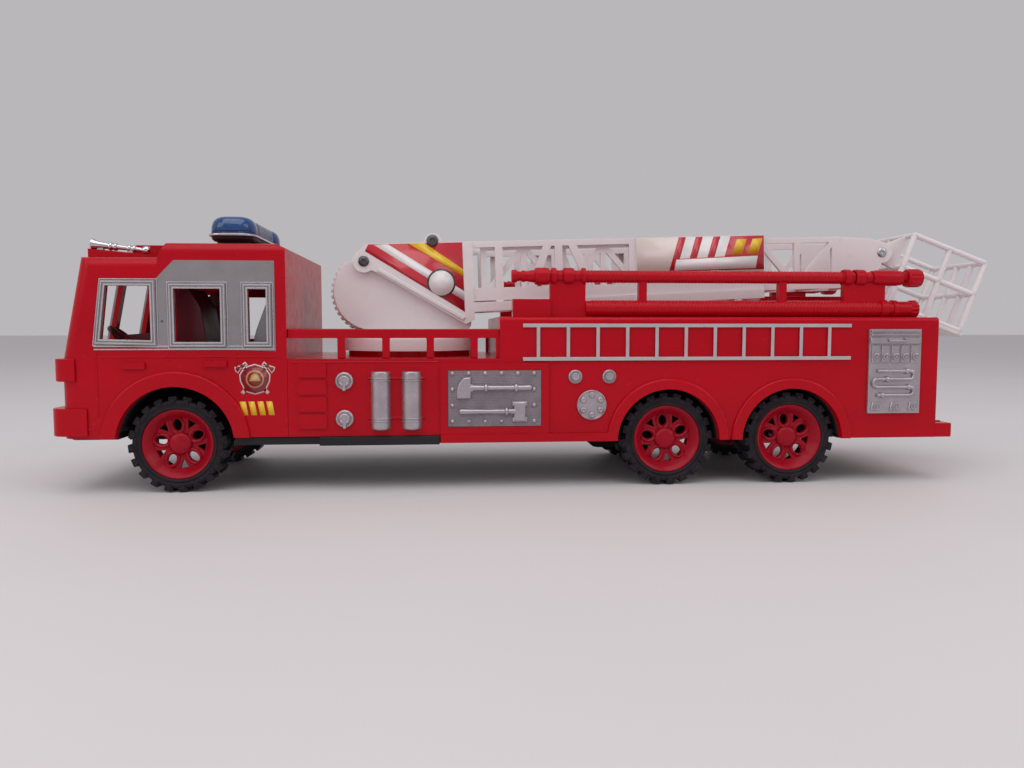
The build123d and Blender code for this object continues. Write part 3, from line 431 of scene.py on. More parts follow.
@dataclass(frozen=True)
class Tinted(Finish):
    """Clear or coloured lens plastic that lets some light through."""

    clear: float = 0.5
    gloss: Flat = (0.05, 0.12)

    def dress(self, bench: NodeBench) -> None:
        """Build the lens.

        Args:
            bench: The material to fill.
        """
        bench.vary_colour(bench.span(bench.noise(5.0), 0, 1), self.colour, self.darker(0.7))
        bench.vary_gloss(3.0, self.gloss)
        bench.set(Transmission_Weight=self.clear, IOR=1.49, Coat_Weight=0.4, Coat_Roughness=0.05)
        bench.bump(bench.noise(1.5, 1.0), 0.008)


@dataclass(frozen=True)
class Rubber(Finish):
    """Soft black vinyl of the tyres, with a dusty bloom."""

    bloom: Colour = (0, 0, 0)

    def dress(self, bench: NodeBench) -> None:
        """Build the bloom and the fine skin.

        Args:
            bench: The material to fill.
        """
        dust = bench.span(bench.noise(5.0, 4.0), 0, 1, 0.4, 0.75)
        bench.vary_colour(dust, self.colour, self.bloom)
        bench.vary_gloss(1.2, (0.42, 0.62), 3.0)
        bench.set(Specular_IOR_Level=0.2)
        bench.bump(bench.noise(0.3, 2.0), 0.012)


@dataclass(frozen=True)
class Film(Finish):
    """A flat colour printed on a glossy sticker, with the print's faint grain and the film's waves."""

    def dress(self, bench: NodeBench) -> None:
        """Build the print.

        Args:
            bench: The material to fill.
        """
        pale = tuple(min(1.0, 1.12 * part + 0.01) for part in self.colour)
        bench.vary_colour(bench.span(bench.flecks(0.18), 0, 0.6, 0, 1), self.colour, pale)
        bench.vary_gloss(4.0, (0.16, 0.26))
        bench.set(Coat_Weight=0.3, Coat_Roughness=0.08)
        bench.bump(bench.noise(3.5, 1.0), 0.02)


@dataclass(frozen=True)
class Backdrop(Finish):
    """The pale board that the truck stands on."""

    def dress(self, bench: NodeBench) -> None:
        """Build a soft, matt board.

        Args:
            bench: The material to fill.
        """
        bench.vary_colour(bench.span(bench.noise(120.0, 3.0), 0, 1), self.colour, self.darker(0.97))
        bench.set(Roughness=0.6)
        bench.bump(bench.noise(2.0, 3.0), 0.01)


RED = Moulded("truck_red", (0.48, 0.002, 0.012), shade=(0.42, 0.002, 0.01), skin=0.0008,
              gloss=(0.18, 0.28), coat=0.05, shine=0.13)
WHEEL = Moulded("wheel_dark_red", (0.36, 0.003, 0.016), shade=(0.29, 0.003, 0.013), gloss=(0.24, 0.34),
                coat=0.05, shine=0.16)
WHITE = Moulded("ladder_white_plastic", (0.78, 0.72, 0.73), shade=(0.74, 0.68, 0.7),
                gloss=(0.26, 0.38), glow=0.2)
GREY = Sprayed("window_panel_paint", (0.32, 0.3, 0.31), shade=(0.24, 0.22, 0.23), metal=0.45,
               gloss=(0.34, 0.44))
# Lighter silver for the raised window ridges and border lines: a painted highlight standing in for the light
# that they catch.
RIDGE_HIGHLIGHT = Sprayed("window_ridge_paint", (0.6, 0.57, 0.59), shade=(0.46, 0.43, 0.45), metal=0.6,
                gloss=(0.24, 0.34))
SILVER = Sprayed("silver_paint", (0.52, 0.47, 0.5), shade=(0.36, 0.32, 0.35), gloss=(0.24, 0.36))
SILVER_EDGED = Sprayed("silver_over_red", (0.66, 0.6, 0.63), shade=(0.5, 0.46, 0.48),
                       under=(0.45, 0.005, 0.015))
SILVER_WOVEN = Sprayed("silver_mesh_ground", (0.3, 0.26, 0.29), shade=(0.19, 0.16, 0.18), weave=0.55)
CHROME = Plated("bright_plating", (0.66, 0.64, 0.67))
STEEL = Plated("pin_steel_plain", (0.5, 0.5, 0.51), gloss=(0.22, 0.36), wave=0.01)
SCREW = Plated("dark_screw_steel", (0.12, 0.115, 0.12), gloss=(0.3, 0.45), wave=0.01)
BLUE = Tinted("blue_lens", (0.006, 0.09, 0.32), clear=0.3)
CLEAR = Tinted("clear_lens", (0.85, 0.88, 0.9), clear=0.85)
SMOKE = Tinted("smoke_blue_lens", (0.26, 0.29, 0.42), clear=0.45)
AMBER = Tinted("amber_lens", (0.85, 0.26, 0.02), clear=0.3)
BLACK = Moulded("chassis_black_plastic", (0.02, 0.019, 0.021), shade=(0.014, 0.013, 0.015), gloss=(0.4, 0.55),
                skin=0.012, skin_size=0.4, coat=0.0, shine=0.25)
TYRE = Rubber("tyre_vinyl", (0.013, 0.01, 0.014), bloom=(0.024, 0.019, 0.024))
SEAT = Moulded("seat_burgundy", (0.15, 0.012, 0.02), shade=(0.12, 0.009, 0.016), gloss=(0.32, 0.44))
BENCH = Moulded("bench_grey_plastic", (0.3, 0.3, 0.31), shade=(0.26, 0.26, 0.27), gloss=(0.35, 0.45))
RED_FILM = Film("print_red", (0.52, 0.02, 0.035))
CRIMSON_FILM = Film("print_crimson", (0.25, 0.01, 0.02))
WHITE_FILM = Film("print_white", (0.72, 0.68, 0.68))
CREAM_FILM = Film("print_cream", (0.7, 0.6, 0.56))
YELLOW_FILM = Film("print_yellow", (0.75, 0.45, 0.008))
GOLD_FILM = Film("print_gold", (0.5, 0.3, 0.1))
DARK_FILM = Film("print_dark", (0.05, 0.045, 0.045))
BOARD = Backdrop("studio_board", (0.72, 0.69, 0.7))

AXLES = ("front", "middle", "rear")


def per_wheel(part: str) -> str:
    """Return the node names of a part that each wheel has."""
    return " ".join(f"{part}_{axle}_{side.tag}" for axle in AXLES for side in Side)


NODE_GROUPS: tuple[tuple[Finish, Slot, str], ...] = (
    (RED, Slot.BODY_RED, "cab_shell front_bumper lamp_band body_shell railing_left railing_right "
                         "hose_rack_left hose_rack_right rear_bumper ladder_rest"),
    (GREY, Slot.PANEL_GREY, "window_panel_left window_panel_right windscreen_frame"),
    (SILVER, Slot.DETAIL_SILVER, "front_grille air_bottles outlet_caps locker_panels rear_shutter"),
    (SILVER_WOVEN, Slot.DETAIL_SILVER, "tool_panel_left tool_panel_right"),
    (SILVER_EDGED, Slot.DETAIL_SILVER, "side_ladder_left side_ladder_right"),
    (CHROME, Slot.BRIGHT_CHROME, "roof_horns light_bar_tray"),
    (CLEAR, Slot.LENS_CLEAR, "headlamps"),
    (SMOKE, Slot.LENS_CLEAR, "light_bar_middle"),
    (BLUE, Slot.LENS_BLUE, "light_bar_domes"),
    (AMBER, Slot.LENS_AMBER, "tail_lamps"),
    (SEAT, Slot.SEAT_DARK_RED, "cab_seats dashboard"),
    (BENCH, Slot.BENCH_GREY, "rear_bench"),
    (BLACK, Slot.CHASSIS_BLACK, "light_bar_feet chassis_plate side_steps motor_housing"),
    (WHITE, Slot.LADDER_WHITE, "turntable_disc turret ladder_base ladder_extension rescue_basket"),
    (SCREW, Slot.PIN_STEEL, "ladder_pin"),
    (STEEL, Slot.PIN_STEEL, "basket_pin axle_front axle_middle axle_rear"),
    (WHEEL, Slot.WHEEL_RED, per_wheel("rim")),
    (TYRE, Slot.TYRE_BLACK, per_wheel("tyre")),
)

WELD_REACH = 0.002
EDGE_FACETS = 2
SHARP_TURN = 35.0
FLAT_FACE_WEIGHT = 60


def add_object(name: str, data: bpy.types.ID) -> bpy.types.Object:
    """Put a new object into the scene.

    Args:
        name: The object's name.
        data: The mesh, lamp or camera that it holds.

    Returns:
        The object.
    """
    made = bpy.data.objects.new(name, data)
    bpy.context.scene.collection.objects.link(made)
    return made


def aim(seen: bpy.types.Object, direction: Vector) -> None:
    """Turn a lamp or the camera to look along a direction."""
    seen.rotation_euler = direction.to_track_quat("-Z", "Y").to_euler()


def soften(piece: bpy.types.Object, width: float) -> None:
    """Round a piece's sharp edges and shade it as one smooth skin.

    Args:
        piece: The mesh object.
        width: The rounding's width in millimetres.
    """
    weld = piece.modifiers.new("weld", "WELD")
    weld.merge_threshold = WELD_REACH * MM
    bevel = piece.modifiers.new("edge", "BEVEL")
    bevel.width = width * MM
    bevel.segments = EDGE_FACETS
    bevel.limit_method = "ANGLE"
    bevel.angle_limit = radians(SHARP_TURN)
    bevel.use_clamp_overlap = True
    bevel.miter_outer = "MITER_ARC"
    normals = piece.modifiers.new("normals", "WEIGHTED_NORMAL")
    normals.keep_sharp = False
    normals.weight = FLAT_FACE_WEIGHT


# Local frames and forms

FRONT = CAD_BOX[1][0] / MM
LADDER_RISE = radians(1.8)
BASKET_TILT = radians(20.0)
HEEL_PIN: Flat = (104.5, 82.5)
TIP_PIN: Flat = (308.84, 87.62)
SIDE_FACE = 40.0  # The red sides, from the middle plane
PANEL_FACE = 40.8  # The silver panels on them
SUNK = 0.1  # How far a fitting reaches into what carries it
POINT = 0.02  # The radius that closes a turned profile


@dataclass(frozen=True)
class Span:
    """A CAD node's box in millimetres, with stations measured back from the front bumper."""

    front: float
    rear: float
    right: float
    left: float
    low: float
    high: float

    @classmethod
    def of(cls, node: str) -> "Span":
        """Read a node's box.

        Args:
            node: The CAD node's name.

        Returns:
            Its box.
        """
        low, high = (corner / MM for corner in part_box(node))
        return cls(FRONT - high.x, FRONT - low.x, low.y, high.y, low.z, high.z)

    @property
    def middle(self) -> Solid:
        """The box's centre as station, Y and height."""
        return ((self.front + self.rear) / 2, (self.left + self.right) / 2, (self.low + self.high) / 2)


@dataclass(frozen=True)
class Place:
    """A local frame: an origin and three axes in the truck's frame, in millimetres."""

    origin: Solid
    along: Solid
    up: Solid
    out: Solid

    def point(self, a: float, b: float, c: float) -> Vector:
        """Turn a local point into the truck's metres.

        Args:
            a: Distance along the first axis.
            b: Distance along the second.
            c: Distance along the third.

        Returns:
            The point.
        """
        axes = zip((a, b, c), (self.along, self.up, self.out))
        return sum((reach * Vector(axis) for reach, axis in axes), Vector(self.origin)) * MM

    @classmethod
    def side(cls, side: Side) -> "Place":
        """Return the frame of one side: station, height and distance from the middle plane."""
        return cls((FRONT, 0, 0), (-1, 0, 0), (0, 0, 1), (0, side.value, 0))

    @classmethod
    def front(cls) -> "Place":
        """Return the front view's frame: Y, height and distance ahead of the bumper."""
        return cls((FRONT, 0, 0), (0, 1, 0), (0, 0, 1), (1, 0, 0))

    @classmethod
    def top(cls) -> "Place":
        """Return the plan's frame: station, Y and height."""
        return cls((FRONT, 0, 0), (-1, 0, 0), (0, 1, 0), (0, 0, 1))

    @classmethod
    def ladder(cls, side: Side) -> "Place":
        """Return the stowed ladder's frame: back from the heel pin, up square to its run, and outward."""
        run, lift = cos(LADDER_RISE), sin(LADDER_RISE)
        return cls((FRONT - HEEL_PIN[0], 0, HEEL_PIN[1]), (-run, 0, lift), (lift, 0, run), (0, side.value, 0))

    @classmethod
    def basket(cls) -> "Place":
        """Return the basket's frame: back from its pin, up, and to the left."""
        run, lift = cos(BASKET_TILT), sin(BASKET_TILT)
        return cls((FRONT - TIP_PIN[0], 0, TIP_PIN[1]), (-run, 0, -lift), (-lift, 0, run), (0, 1, 0))


@dataclass(frozen=True)
class Barrel(Place):
    """A local frame wrapped round a wheel: an angle in radians, the place across, outward, and the radius."""

    def point(self, a: float, b: float, c: float) -> Vector:
        """Turn an angle, a place across and a radius into the truck's metres.

        Args:
            a: The angle.
            b: The place across.
            c: The radius.

        Returns:
            The point.
        """
        return super().point(c * cos(a), c * sin(a), b)


def circle(a: float, b: float, radius: float, count: int = 32, squeeze: float = 1.0,
           turn: float = 0.0) -> list[Flat]:
    """Return a circle's outline, or an oval's.

    Args:
        a: The centre's first number.
        b: The centre's second number.
        radius: The radius.
        count: The number of points.
        squeeze: The oval's second radius as a share of the first.
        turn: The oval's turn in radians.

    Returns:
        The outline.
    """
    points = []
    for index in range(count):
        x = radius * cos(2 * pi * index / count)
        y = radius * squeeze * sin(2 * pi * index / count)
        points.append((a + x * cos(turn) - y * sin(turn), b + x * sin(turn) + y * cos(turn)))
    return points


def rounded(a: Flat, b: Flat, radius: float, steps: int = 5) -> list[Flat]:
    """Return a rectangle's outline with round corners.

    Args:
        a: The lowest and highest first number.
        b: The lowest and highest second number.
        radius: The corners' radius.
        steps: Points on each corner.

    Returns:
        The outline.
    """
    corners = ((a[1] - radius, b[1] - radius), (a[0] + radius, b[1] - radius),
               (a[0] + radius, b[0] + radius), (a[1] - radius, b[0] + radius))
    return [(x + radius * cos(pi / 2 * (quarter + step / (steps - 1))),
             y + radius * sin(pi / 2 * (quarter + step / (steps - 1))))
            for quarter, (x, y) in enumerate(corners) for step in range(steps)]


def inset(outline: Sequence[Flat], amount: float) -> list[Flat]:
    """Draw an outline in by the same amount all round.

    Args:
        outline: The outline.
        amount: How far, or a negative number to draw it out.

    Returns:
        The new outline, with the same number of points.
    """
    count = len(outline)
    area = sum(outline[n - 1][0] * outline[n][1] - outline[n][0] * outline[n - 1][1] for n in range(count))
    inward = amount if area > 0 else -amount
    result = []
    for n, (x, y) in enumerate(outline):
        before = Vector((x, y)) - Vector(outline[n - 1])
        after = Vector(outline[(n + 1) % count]) - Vector((x, y))
        before.normalize()
        after.normalize()
        normal = Vector((-before.y - after.y, before.x + after.x))
        scale = 2 * inward / max(0.5, normal.length_squared)
        result.append((x + normal.x * scale, y + normal.y * scale))
    return result


def clip(outline: Sequence[Flat], window: Sequence[Flat]) -> list[Flat]:
    """Cut an outline to the inside of a convex window.

    Args:
        outline: The outline.
        window: The window, counter-clockwise.

    Returns:
        The part inside.
    """
    kept = list(outline)
    for n, end in enumerate(window):
        start = window[n - 1]

        def depth(point: Flat) -> float:
            """Return how far a point lies inside this edge, times the edge's length."""
            return (end[0] - start[0]) * (point[1] - start[1]) - (end[1] - start[1]) * (point[0] - start[0])

        cut: list[Flat] = []
        for m, point in enumerate(kept):
            last = kept[m - 1]
            if (depth(point) >= 0) != (depth(last) >= 0):
                share = depth(last) / (depth(last) - depth(point))
                cut.append((last[0] + share * (point[0] - last[0]), last[1] + share * (point[1] - last[1])))
            if depth(point) >= 0:
                cut.append(point)
        kept = cut
    return kept


def spaced(first: float, last: float, count: int) -> list[float]:
    """Return evenly spaced numbers from the first to the last."""
    return [first + (last - first) * index / (count - 1) for index in range(count)]


class Form:
    """A mesh put together from simple solids in one local frame, in millimetres."""

    def __init__(self, name: str, place: Place) -> None:
        """Start an empty form.

        Args:
            name: The piece's name.
            place: The frame that its numbers are in.
        """
        self.name = name
        self.place = place
        self.mesh = bmesh.new()
        self.finishes: list[Finish] = []

    def paint(self, finish: Finish) -> "Form":
        """Give the solids added from here on a finish.

        Args:
            finish: The finish.

        Returns:
            The form itself.
        """
        self.finishes.append(finish)
        return self

    def loft(self, rings: Sequence[Sequence[Solid]], closed: bool = False) -> None:
        """Skin a row of rings with the same number of points.

        Args:
            rings: The rings.
            closed: Whether the last ring joins the first; if not, both ends are filled.
        """
        made = [[self.mesh.verts.new(self.place.point(*point)) for point in ring] for ring in rings]
        faces = [] if closed else [made[0], made[-1]]
        for n in range(0 if closed else 1, len(made)):
            last, ring = made[n - 1], made[n]
            faces.extend((last[m - 1], last[m], ring[m], ring[m - 1]) for m in range(len(ring)))
        for corners in faces:
            face = self.mesh.faces.new(corners)
            face.smooth = True
            face.material_index = len(self.finishes) - 1

    def stack(self, rings: Iterable[tuple[Sequence[Flat], float]], closed: bool = False) -> None:
        """Skin a row of flat outlines, each with its own place on the third axis.

        Args:
            rings: Pairs of an outline and its place.
            closed: Whether the last ring joins the first; if not, both ends are filled.
        """
        self.loft([[(a, b, c) for a, b in ring] for ring, c in rings], closed)

    def prism(self, outline: Sequence[Flat], low: float, high: float, draw: float = 0.0) -> None:
        """Raise an outline along the third axis.

        Args:
            outline: The outline.
            low: Where it starts.
            high: Where it ends.
            draw: How far its top edge is cut back, both ways.
        """
        rings = [(outline, low), (outline, high)]
        if draw:
            rings[1:] = [(outline, high - draw), (inset(outline, draw), high)]
        self.stack(rings)

    def plate(self, loops: Sequence[Sequence[Flat]], low: float, high: float) -> None:
        """Raise a flat sheet with holes.

        Args:
            loops: The sheet's outline, then its holes.
            low: Where it starts.
            high: Where it ends.
        """
        corners = [point for loop in loops for point in loop]
        triangles = tessellate_polygon([[Vector((a, b, 0)) for a, b in loop] for loop in loops])
        levels = [[self.mesh.verts.new(self.place.point(a, b, c)) for a, b in corners] for c in (low, high)]
        faces = [tuple(level[n] for n in triangle) for level in levels for triangle in triangles]
        first = 0
        for loop in loops:
            for n in range(len(loop)):
                this, last = first + n, first + (n - 1) % len(loop)
                faces.append((levels[0][last], levels[0][this], levels[1][this], levels[1][last]))
            first += len(loop)
        for face in faces:
            self.mesh.faces.new(face).material_index = len(self.finishes) - 1

    def slab(self, a: Flat, b: Flat, c: Flat, draw: float = 0.0) -> None:
        """Add a box between two numbers on each axis, its outer edge cut back."""
        self.prism([(a[0], b[0]), (a[1], b[0]), (a[1], b[1]), (a[0], b[1])], *c, draw=draw)

    def border(self, outer: Sequence[Flat], inner: Sequence[Flat], low: float, high: float) -> None:
        """Raise the band between two outlines with the same number of points.

        Args:
            outer: The outer outline.
            inner: The inner outline.
            low: Where it starts.
            high: Where it ends.
        """
        self.stack(((outer, low), (outer, high), (inner, high), (inner, low)), closed=True)

    def turned(self, start: Solid, end: Solid, profile: Sequence[Flat], facets: int = 32,
               closed: bool = False) -> None:
        """Turn a profile round a line.

        Args:
            start: The line's start.
            end: The line's end.
            profile: Pairs of a share of the way along and a radius.
            facets: Points on each round.
            closed: Whether the profile's end joins its start, as for a ring.
        """
        line = Vector(end) - Vector(start)
        first = line.orthogonal().normalized()
        second = line.normalized().cross(first)
        rings = []
        for share, radius in profile:
            centre = Vector(start) + line * share
            turns = [2 * pi * n / facets for n in range(facets)]
            rings.append([tuple(centre + radius * (cos(t) * first + sin(t) * second)) for t in turns])
        self.loft(rings, closed)

    def rod(self, start: Solid, end: Solid, radius: float, facets: int = 14) -> None:
        """Add a round bar between two points."""
        self.turned(start, end, ((0, radius), (1, radius)), facets)

    def drum(self, a: float, b: float, low: float, profile: Sequence[Flat], facets: int = 32) -> None:
        """Stack rounds along the third axis.

        Args:
            a: The centre's first number.
            b: The centre's second number.
            low: Where the stack starts.
            profile: Pairs of a height above the start and a radius.
            facets: Points on each round.
        """
        self.turned((a, b, low), (a, b, low + 1), profile, facets)

    def pipe(self, path: Sequence[Flat], c: float, radius: float, facets: int = 10) -> None:
        """Run a round pipe along a flat path at one depth.

        Args:
            path: The path's points.
            c: The pipe's middle on the third axis.
            radius: Its radius.
            facets: Points on each round.
        """
        rings = []
        for n, (a, b) in enumerate(path):
            ahead, behind = path[min(n + 1, len(path) - 1)], path[max(n - 1, 0)]
            run = Vector((ahead[0] - behind[0], ahead[1] - behind[1])).normalized()
            turns = [2 * pi * m / facets for m in range(facets)]
            rings.append([(a - run.y * radius * cos(t), b + run.x * radius * cos(t),
                           c + radius * sin(t)) for t in turns])
        self.loft(rings)

    def build(self, slot: Slot | None, like: str, edge: float, replaces: Iterable[str] = ()) -> None:
        """Finish the piece.

        Args:
            slot: The record's slot that its finish stands for; not used.
            like: The CAD node whose body it rides on.
            edge: The width of its rounded edges, or 0 for none.
            replaces: The CAD nodes that it stands for.
        """
        bmesh.ops.recalc_face_normals(self.mesh, faces=self.mesh.faces[:])
        mesh = bpy.data.meshes.new(self.name)
        self.mesh.to_mesh(mesh)
        self.mesh.free()
        piece = add_object(self.name, mesh)
        for finish in self.finishes:
            mesh.materials.append(finish.material())
        if edge:
            soften(piece, edge)
        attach(piece, body_of(frame["nodes"][like])[0])
        if replaces:
            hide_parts(*replaces)
        log.info("built %s", self.name)


def screw(form: Form, a: float, b: float, c: float, radius: float, domed: float) -> None:
    """Add a domed cross-head screw to a form.

    Args:
        form: The form.
        a: The head's first number.
        b: The head's second number.
        c: The surface under the head.
        radius: The head's radius.
        domed: The dome's height.
    """
    rings = [(0, radius), (0.35 * domed, radius), (0.8 * domed, 0.7 * radius), (domed, 0.38 * radius),
             (0.55 * domed, 0.3 * radius), (0.5 * domed, POINT)]
    form.drum(a, b, c, rings, 24)


# Sub-assemblies


@dataclass
class Wheel:
    """One wheel: a lugged tyre and a dished rim with five ringed ovals and five notches."""

    axle: str
    side: Side
    radius: float = 17.0
    root: float = 15.7
    half_width: float = 7.0
    facets: int = 72
    lugs: int = 20
    lug_share: float = 0.55
    lug_depth: float = 0.35
    ring: float = 12.3
    petals: int = 5
    turn: float = radians(170)
    plane: float = 3.6
    sheet: float = 1.3
    hole: Solid = (6.6, 2.05, 1.45)
    ridge: tuple[tuple[float, float, float, float], ...] = (
        (6.35, 3.35, 2.7, -0.2), (6.35, 3.2, 2.5, 0.45), (6.45, 2.75, 2.1, 0.75), (6.55, 2.3, 1.65, 0.4),
        (6.6, 2.1, 1.5, -0.2))
    hub: Outline = ((-7.7, 3.3), (0.9, 4.2), (1.8, 3.7), (2.4, 2.5), (2.6, POINT))

    def build(self) -> None:
        """Build the tyre and the rim in place of the plain ones."""
        tyre, rim = (f"{part}_{self.axle}_{self.side.tag}" for part in ("tyre", "rim"))
        station, across, height = Span.of(tyre).middle
        place = ((FRONT - station, across, height), (-1, 0, 0), (0, 0, 1), (0, self.side.value, 0))
        self.build_tyre(tyre, Barrel(*place))
        self.build_rim(rim, Place(*place))

    def build_tyre(self, node: str, place: Barrel) -> None:
        """Build the carcass with its bead ring, then three rows of lugs and the shoulder blocks.

        Args:
            node: The plain tyre's name.
            place: The wheel's wrapped frame.
        """
        form = Form(f"{node}_lugged", place).paint(TYRE)
        edge, root, ring = self.half_width, self.root, self.ring
        section = [(ring + 0.03, -edge + 0.3), (root - 1.65, -edge), (root - 0.35, -edge + 0.5),
                   (root, -edge + 1.3), (root, edge - 1.3), (root - 0.35, edge - 0.5),
                   (ring + 2.0, edge - 0.12), (ring + 1.6, edge - 0.45), (ring + 1.2, edge - 0.42),
                   (ring + 1.0, edge), (ring + 0.4, edge - 0.02), (ring + 0.03, edge - 0.35)]
        form.loft([[(2 * pi * n / self.facets, across, radius) for radius, across in section]
                   for n in range(self.facets)], closed=True)
        step = 2 * pi / self.lugs
        wide = self.lug_share * step
        for n in range(self.lugs):
            self.build_lug(form, step * n, wide, 1)
            self.build_lug(form, step * (n + 0.5), wide, -1)
            start = step * (n + 0.3)
            form.prism([(start, -0.8), (start + 0.35 * wide, -0.8), (start + 0.6 * wide, 0.6),
                        (start + 0.2 * wide, 0.8)], root - 0.4, self.radius - 0.3)
        form.build(Slot.TYRE_BLACK, node, 0.12, (node,))

    def build_lug(self, form: Form, start: float, wide: float, sign: int) -> None:
        """Add a lug of an outer row and its block on the shoulder.

        Args:
            form: The tyre.
            start: The angle at which the lug starts.
            wide: Its width as an angle.
            sign: 1 for the row on the wheel's face and -1 for the other.
        """
        edge, root = self.half_width, self.root
        outline = [(start, sign * 1.9), (start + 0.7 * wide, sign * 1.0), (start + 1.1 * wide, sign * 2.6),
                   (start + wide, sign * (edge - 0.25)), (start, sign * (edge - 0.25))]
        crown = [(a + 0.012 * (1 if a < start + wide / 2 else -1), b - 0.3 * sign * (abs(b) > 3))
                 for a, b in outline]
        form.stack(((outline, root - 0.4), (outline, self.radius - self.lug_depth), (crown, self.radius)))
        block = [(start + 0.1 * wide, sign * (edge - 1.2)), (start + 0.9 * wide, sign * (edge - 1.2)),
                 (start + 0.8 * wide, sign * (edge + 0.12)), (start + 0.2 * wide, sign * (edge + 0.12))]
        form.stack([([(a, b - draw * sign) for a, b in block], root + lift)
                    for draw, lift in ((0.5, -1.3), (0, -1.05), (0, 0.05), (0.45, 0.65))])

    def build_rim(self, node: str, place: Place) -> None:
        """Build the deep dish, the holed sheet in it, the ridges round the holes and the hub.

        Args:
            node: The plain rim's name.
            place: The wheel's frame.
        """
        form = Form(f"{node}_dished", place).paint(WHEEL)
        plane, back = self.plane, self.plane - self.sheet
        section = [(self.ring, -6.6), (self.ring, 6.45), (12.0, 6.7), (11.4, 6.45), (10.4, 5.4), (9.5, 4.3),
                   (8.9, plane), (8.9, back), (10.9, 2.0), (10.9, -6.6)]
        form.turned((0, 0, 0), (0, 0, 1), [(height, radius) for radius, height in section], self.facets,
                    closed=True)
        loops = [circle(0, 0, 9.0, self.facets)]
        for n in range(self.petals):
            turn = 2 * pi * n / self.petals + self.turn
            loops += [self.oval(turn, *self.hole), self.notch(turn + pi / self.petals)]
            form.stack([(self.oval(turn, reach, long, short), plane + lift)
                        for reach, long, short, lift in self.ridge], closed=True)
        form.plate(loops, back, plane)
        form.drum(0, 0, plane - 0.6, self.hub, 48)
        form.build(Slot.WHEEL_RED, node, 0.2, (node,))

    def oval(self, turn: float, reach: float, long: float, short: float) -> list[Flat]:
        """Return an oval's outline, its length pointing out from the hub.

        Args:
            turn: The oval's direction in radians.
            reach: Its centre's distance from the hub.
            long: Half of its length.
            short: Half of its width.

        Returns:
            The outline.
        """
        return circle(reach * cos(turn), reach * sin(turn), long, 40, short / long, turn)

    def notch(self, turn: float) -> list[Flat]:
        """Return the three-cornered hole between two ridges, its point to the hub."""
        corners = ((5.7, 0.0), (8.7, 1.5), (8.7, -1.5))
        return [(x * cos(turn) - y * sin(turn), x * sin(turn) + y * cos(turn)) for x, y in corners]


ARCHES: dict[str, Solid] = {
    "front": (17.3, 20.0, 21.3),
    "middle": (16.5, 18.9, 17.4),
    "rear": (16.5, 18.9, 17.4),
}


@dataclass
class WheelHousing:
    """The black liner over one wheel, sized by its arch's centre height, radius and foot height."""

    axle: str
    side: Side
    centre: float
    radius: float
    foot: float
    skin: float = 0.5
    inner: float = 21.9
    shell: float = 38.3

    def build(self) -> None:
        """Build the curved liner and its inner wall."""
        station = Span.of(f"axle_{self.axle}").middle[0]
        form = Form(f"wheel_housing_{self.axle}_{self.side.tag}", Place.side(self.side)).paint(BLACK)
        near, far = self.radius + 0.05, self.radius + self.skin
        start = asin((self.foot - self.centre) / near)
        turns = spaced(start, pi - start, 37)
        corners = ((near, self.inner), (far, self.inner), (far, self.shell), (near, self.shell))
        form.loft([[(station + reach * cos(t), self.centre + reach * sin(t), across)
                    for reach, across in corners] for t in turns])
        form.prism([(station + far * cos(t), self.centre + far * sin(t)) for t in turns],
                   self.inner - self.skin, self.inner + 0.02)
        form.build(Slot.CHASSIS_BLACK, "chassis_plate", 0.0)


@dataclass
class WindowSide:
    """One side of the cab: ridges round the windows, border lines, a screw and the door seams."""

    side: Side
    windows: tuple[Outline, ...] = (
        ((17.9, 53.7), (20.2, 71.9), (34.7, 71.9), (34.7, 53.3)),
        ((42.6, 52.7), (42.6, 70.9), (58.0, 70.9), (58.0, 52.7)),
        ((67.3, 52.7), (67.3, 70.9), (73.4, 70.9), (73.4, 52.7)))
    ridges: tuple[tuple[float, float, float, float], ...] = (
        (1.55, 1.1, 0.0, 0.9), (0.6, 0.02, -0.6, 0.85), (2.4, 2.05, -0.2, 0.25))
    seams: Outline = ((16.3, 27.0), (40.0, 46.0), (62.9, 44.0))
    lines: tuple[Solid, ...] = ((4.4, 15.2, 22.3), (17.0, 76.5, 47.3))
    face: float = 40.1

    def build(self) -> None:
        """Build the raised lines of the panel and the seams below it."""
        # The ridges and the border lines take the lighter ridge silver, a painted highlight on the raised
        # lines over the darker panel.
        form = Form(f"window_ridges_{self.side.tag}", Place.side(self.side)).paint(RIDGE_HIGHLIGHT)
        for window in self.windows:
            for outer, inner, low, high in self.ridges:
                form.border(inset(window, -outer), inset(window, -inner), self.face + low, self.face + high)
        for height in (49.95, 51.0):
            form.slab((15.6, 76.0), (height, height + 0.45), (self.face - 0.2, self.face + 0.2))
        form.paint(SCREW).drum(38.4, 59.8, self.face - 0.1, [(0, 0.4), (0.2, 0.4), (0.3, POINT)], 14)
        form.build(Slot.PANEL_GREY, f"window_panel_{self.side.tag}", 0.12)
        seams = Form(f"door_seams_{self.side.tag}", Place.side(self.side)).paint(RED)
        root = SIDE_FACE - 0.4
        for station, low in self.seams:
            seams.slab((station - 0.28, station + 0.28), (low, 49.4), (root, SIDE_FACE + 0.22), draw=0.15)
        for front, rear, low in self.lines:
            seams.slab((front, rear), (low, low + 0.5), (root, SIDE_FACE + 0.2), draw=0.15)
        seams.build(Slot.BODY_RED, "cab_shell", 0.08)


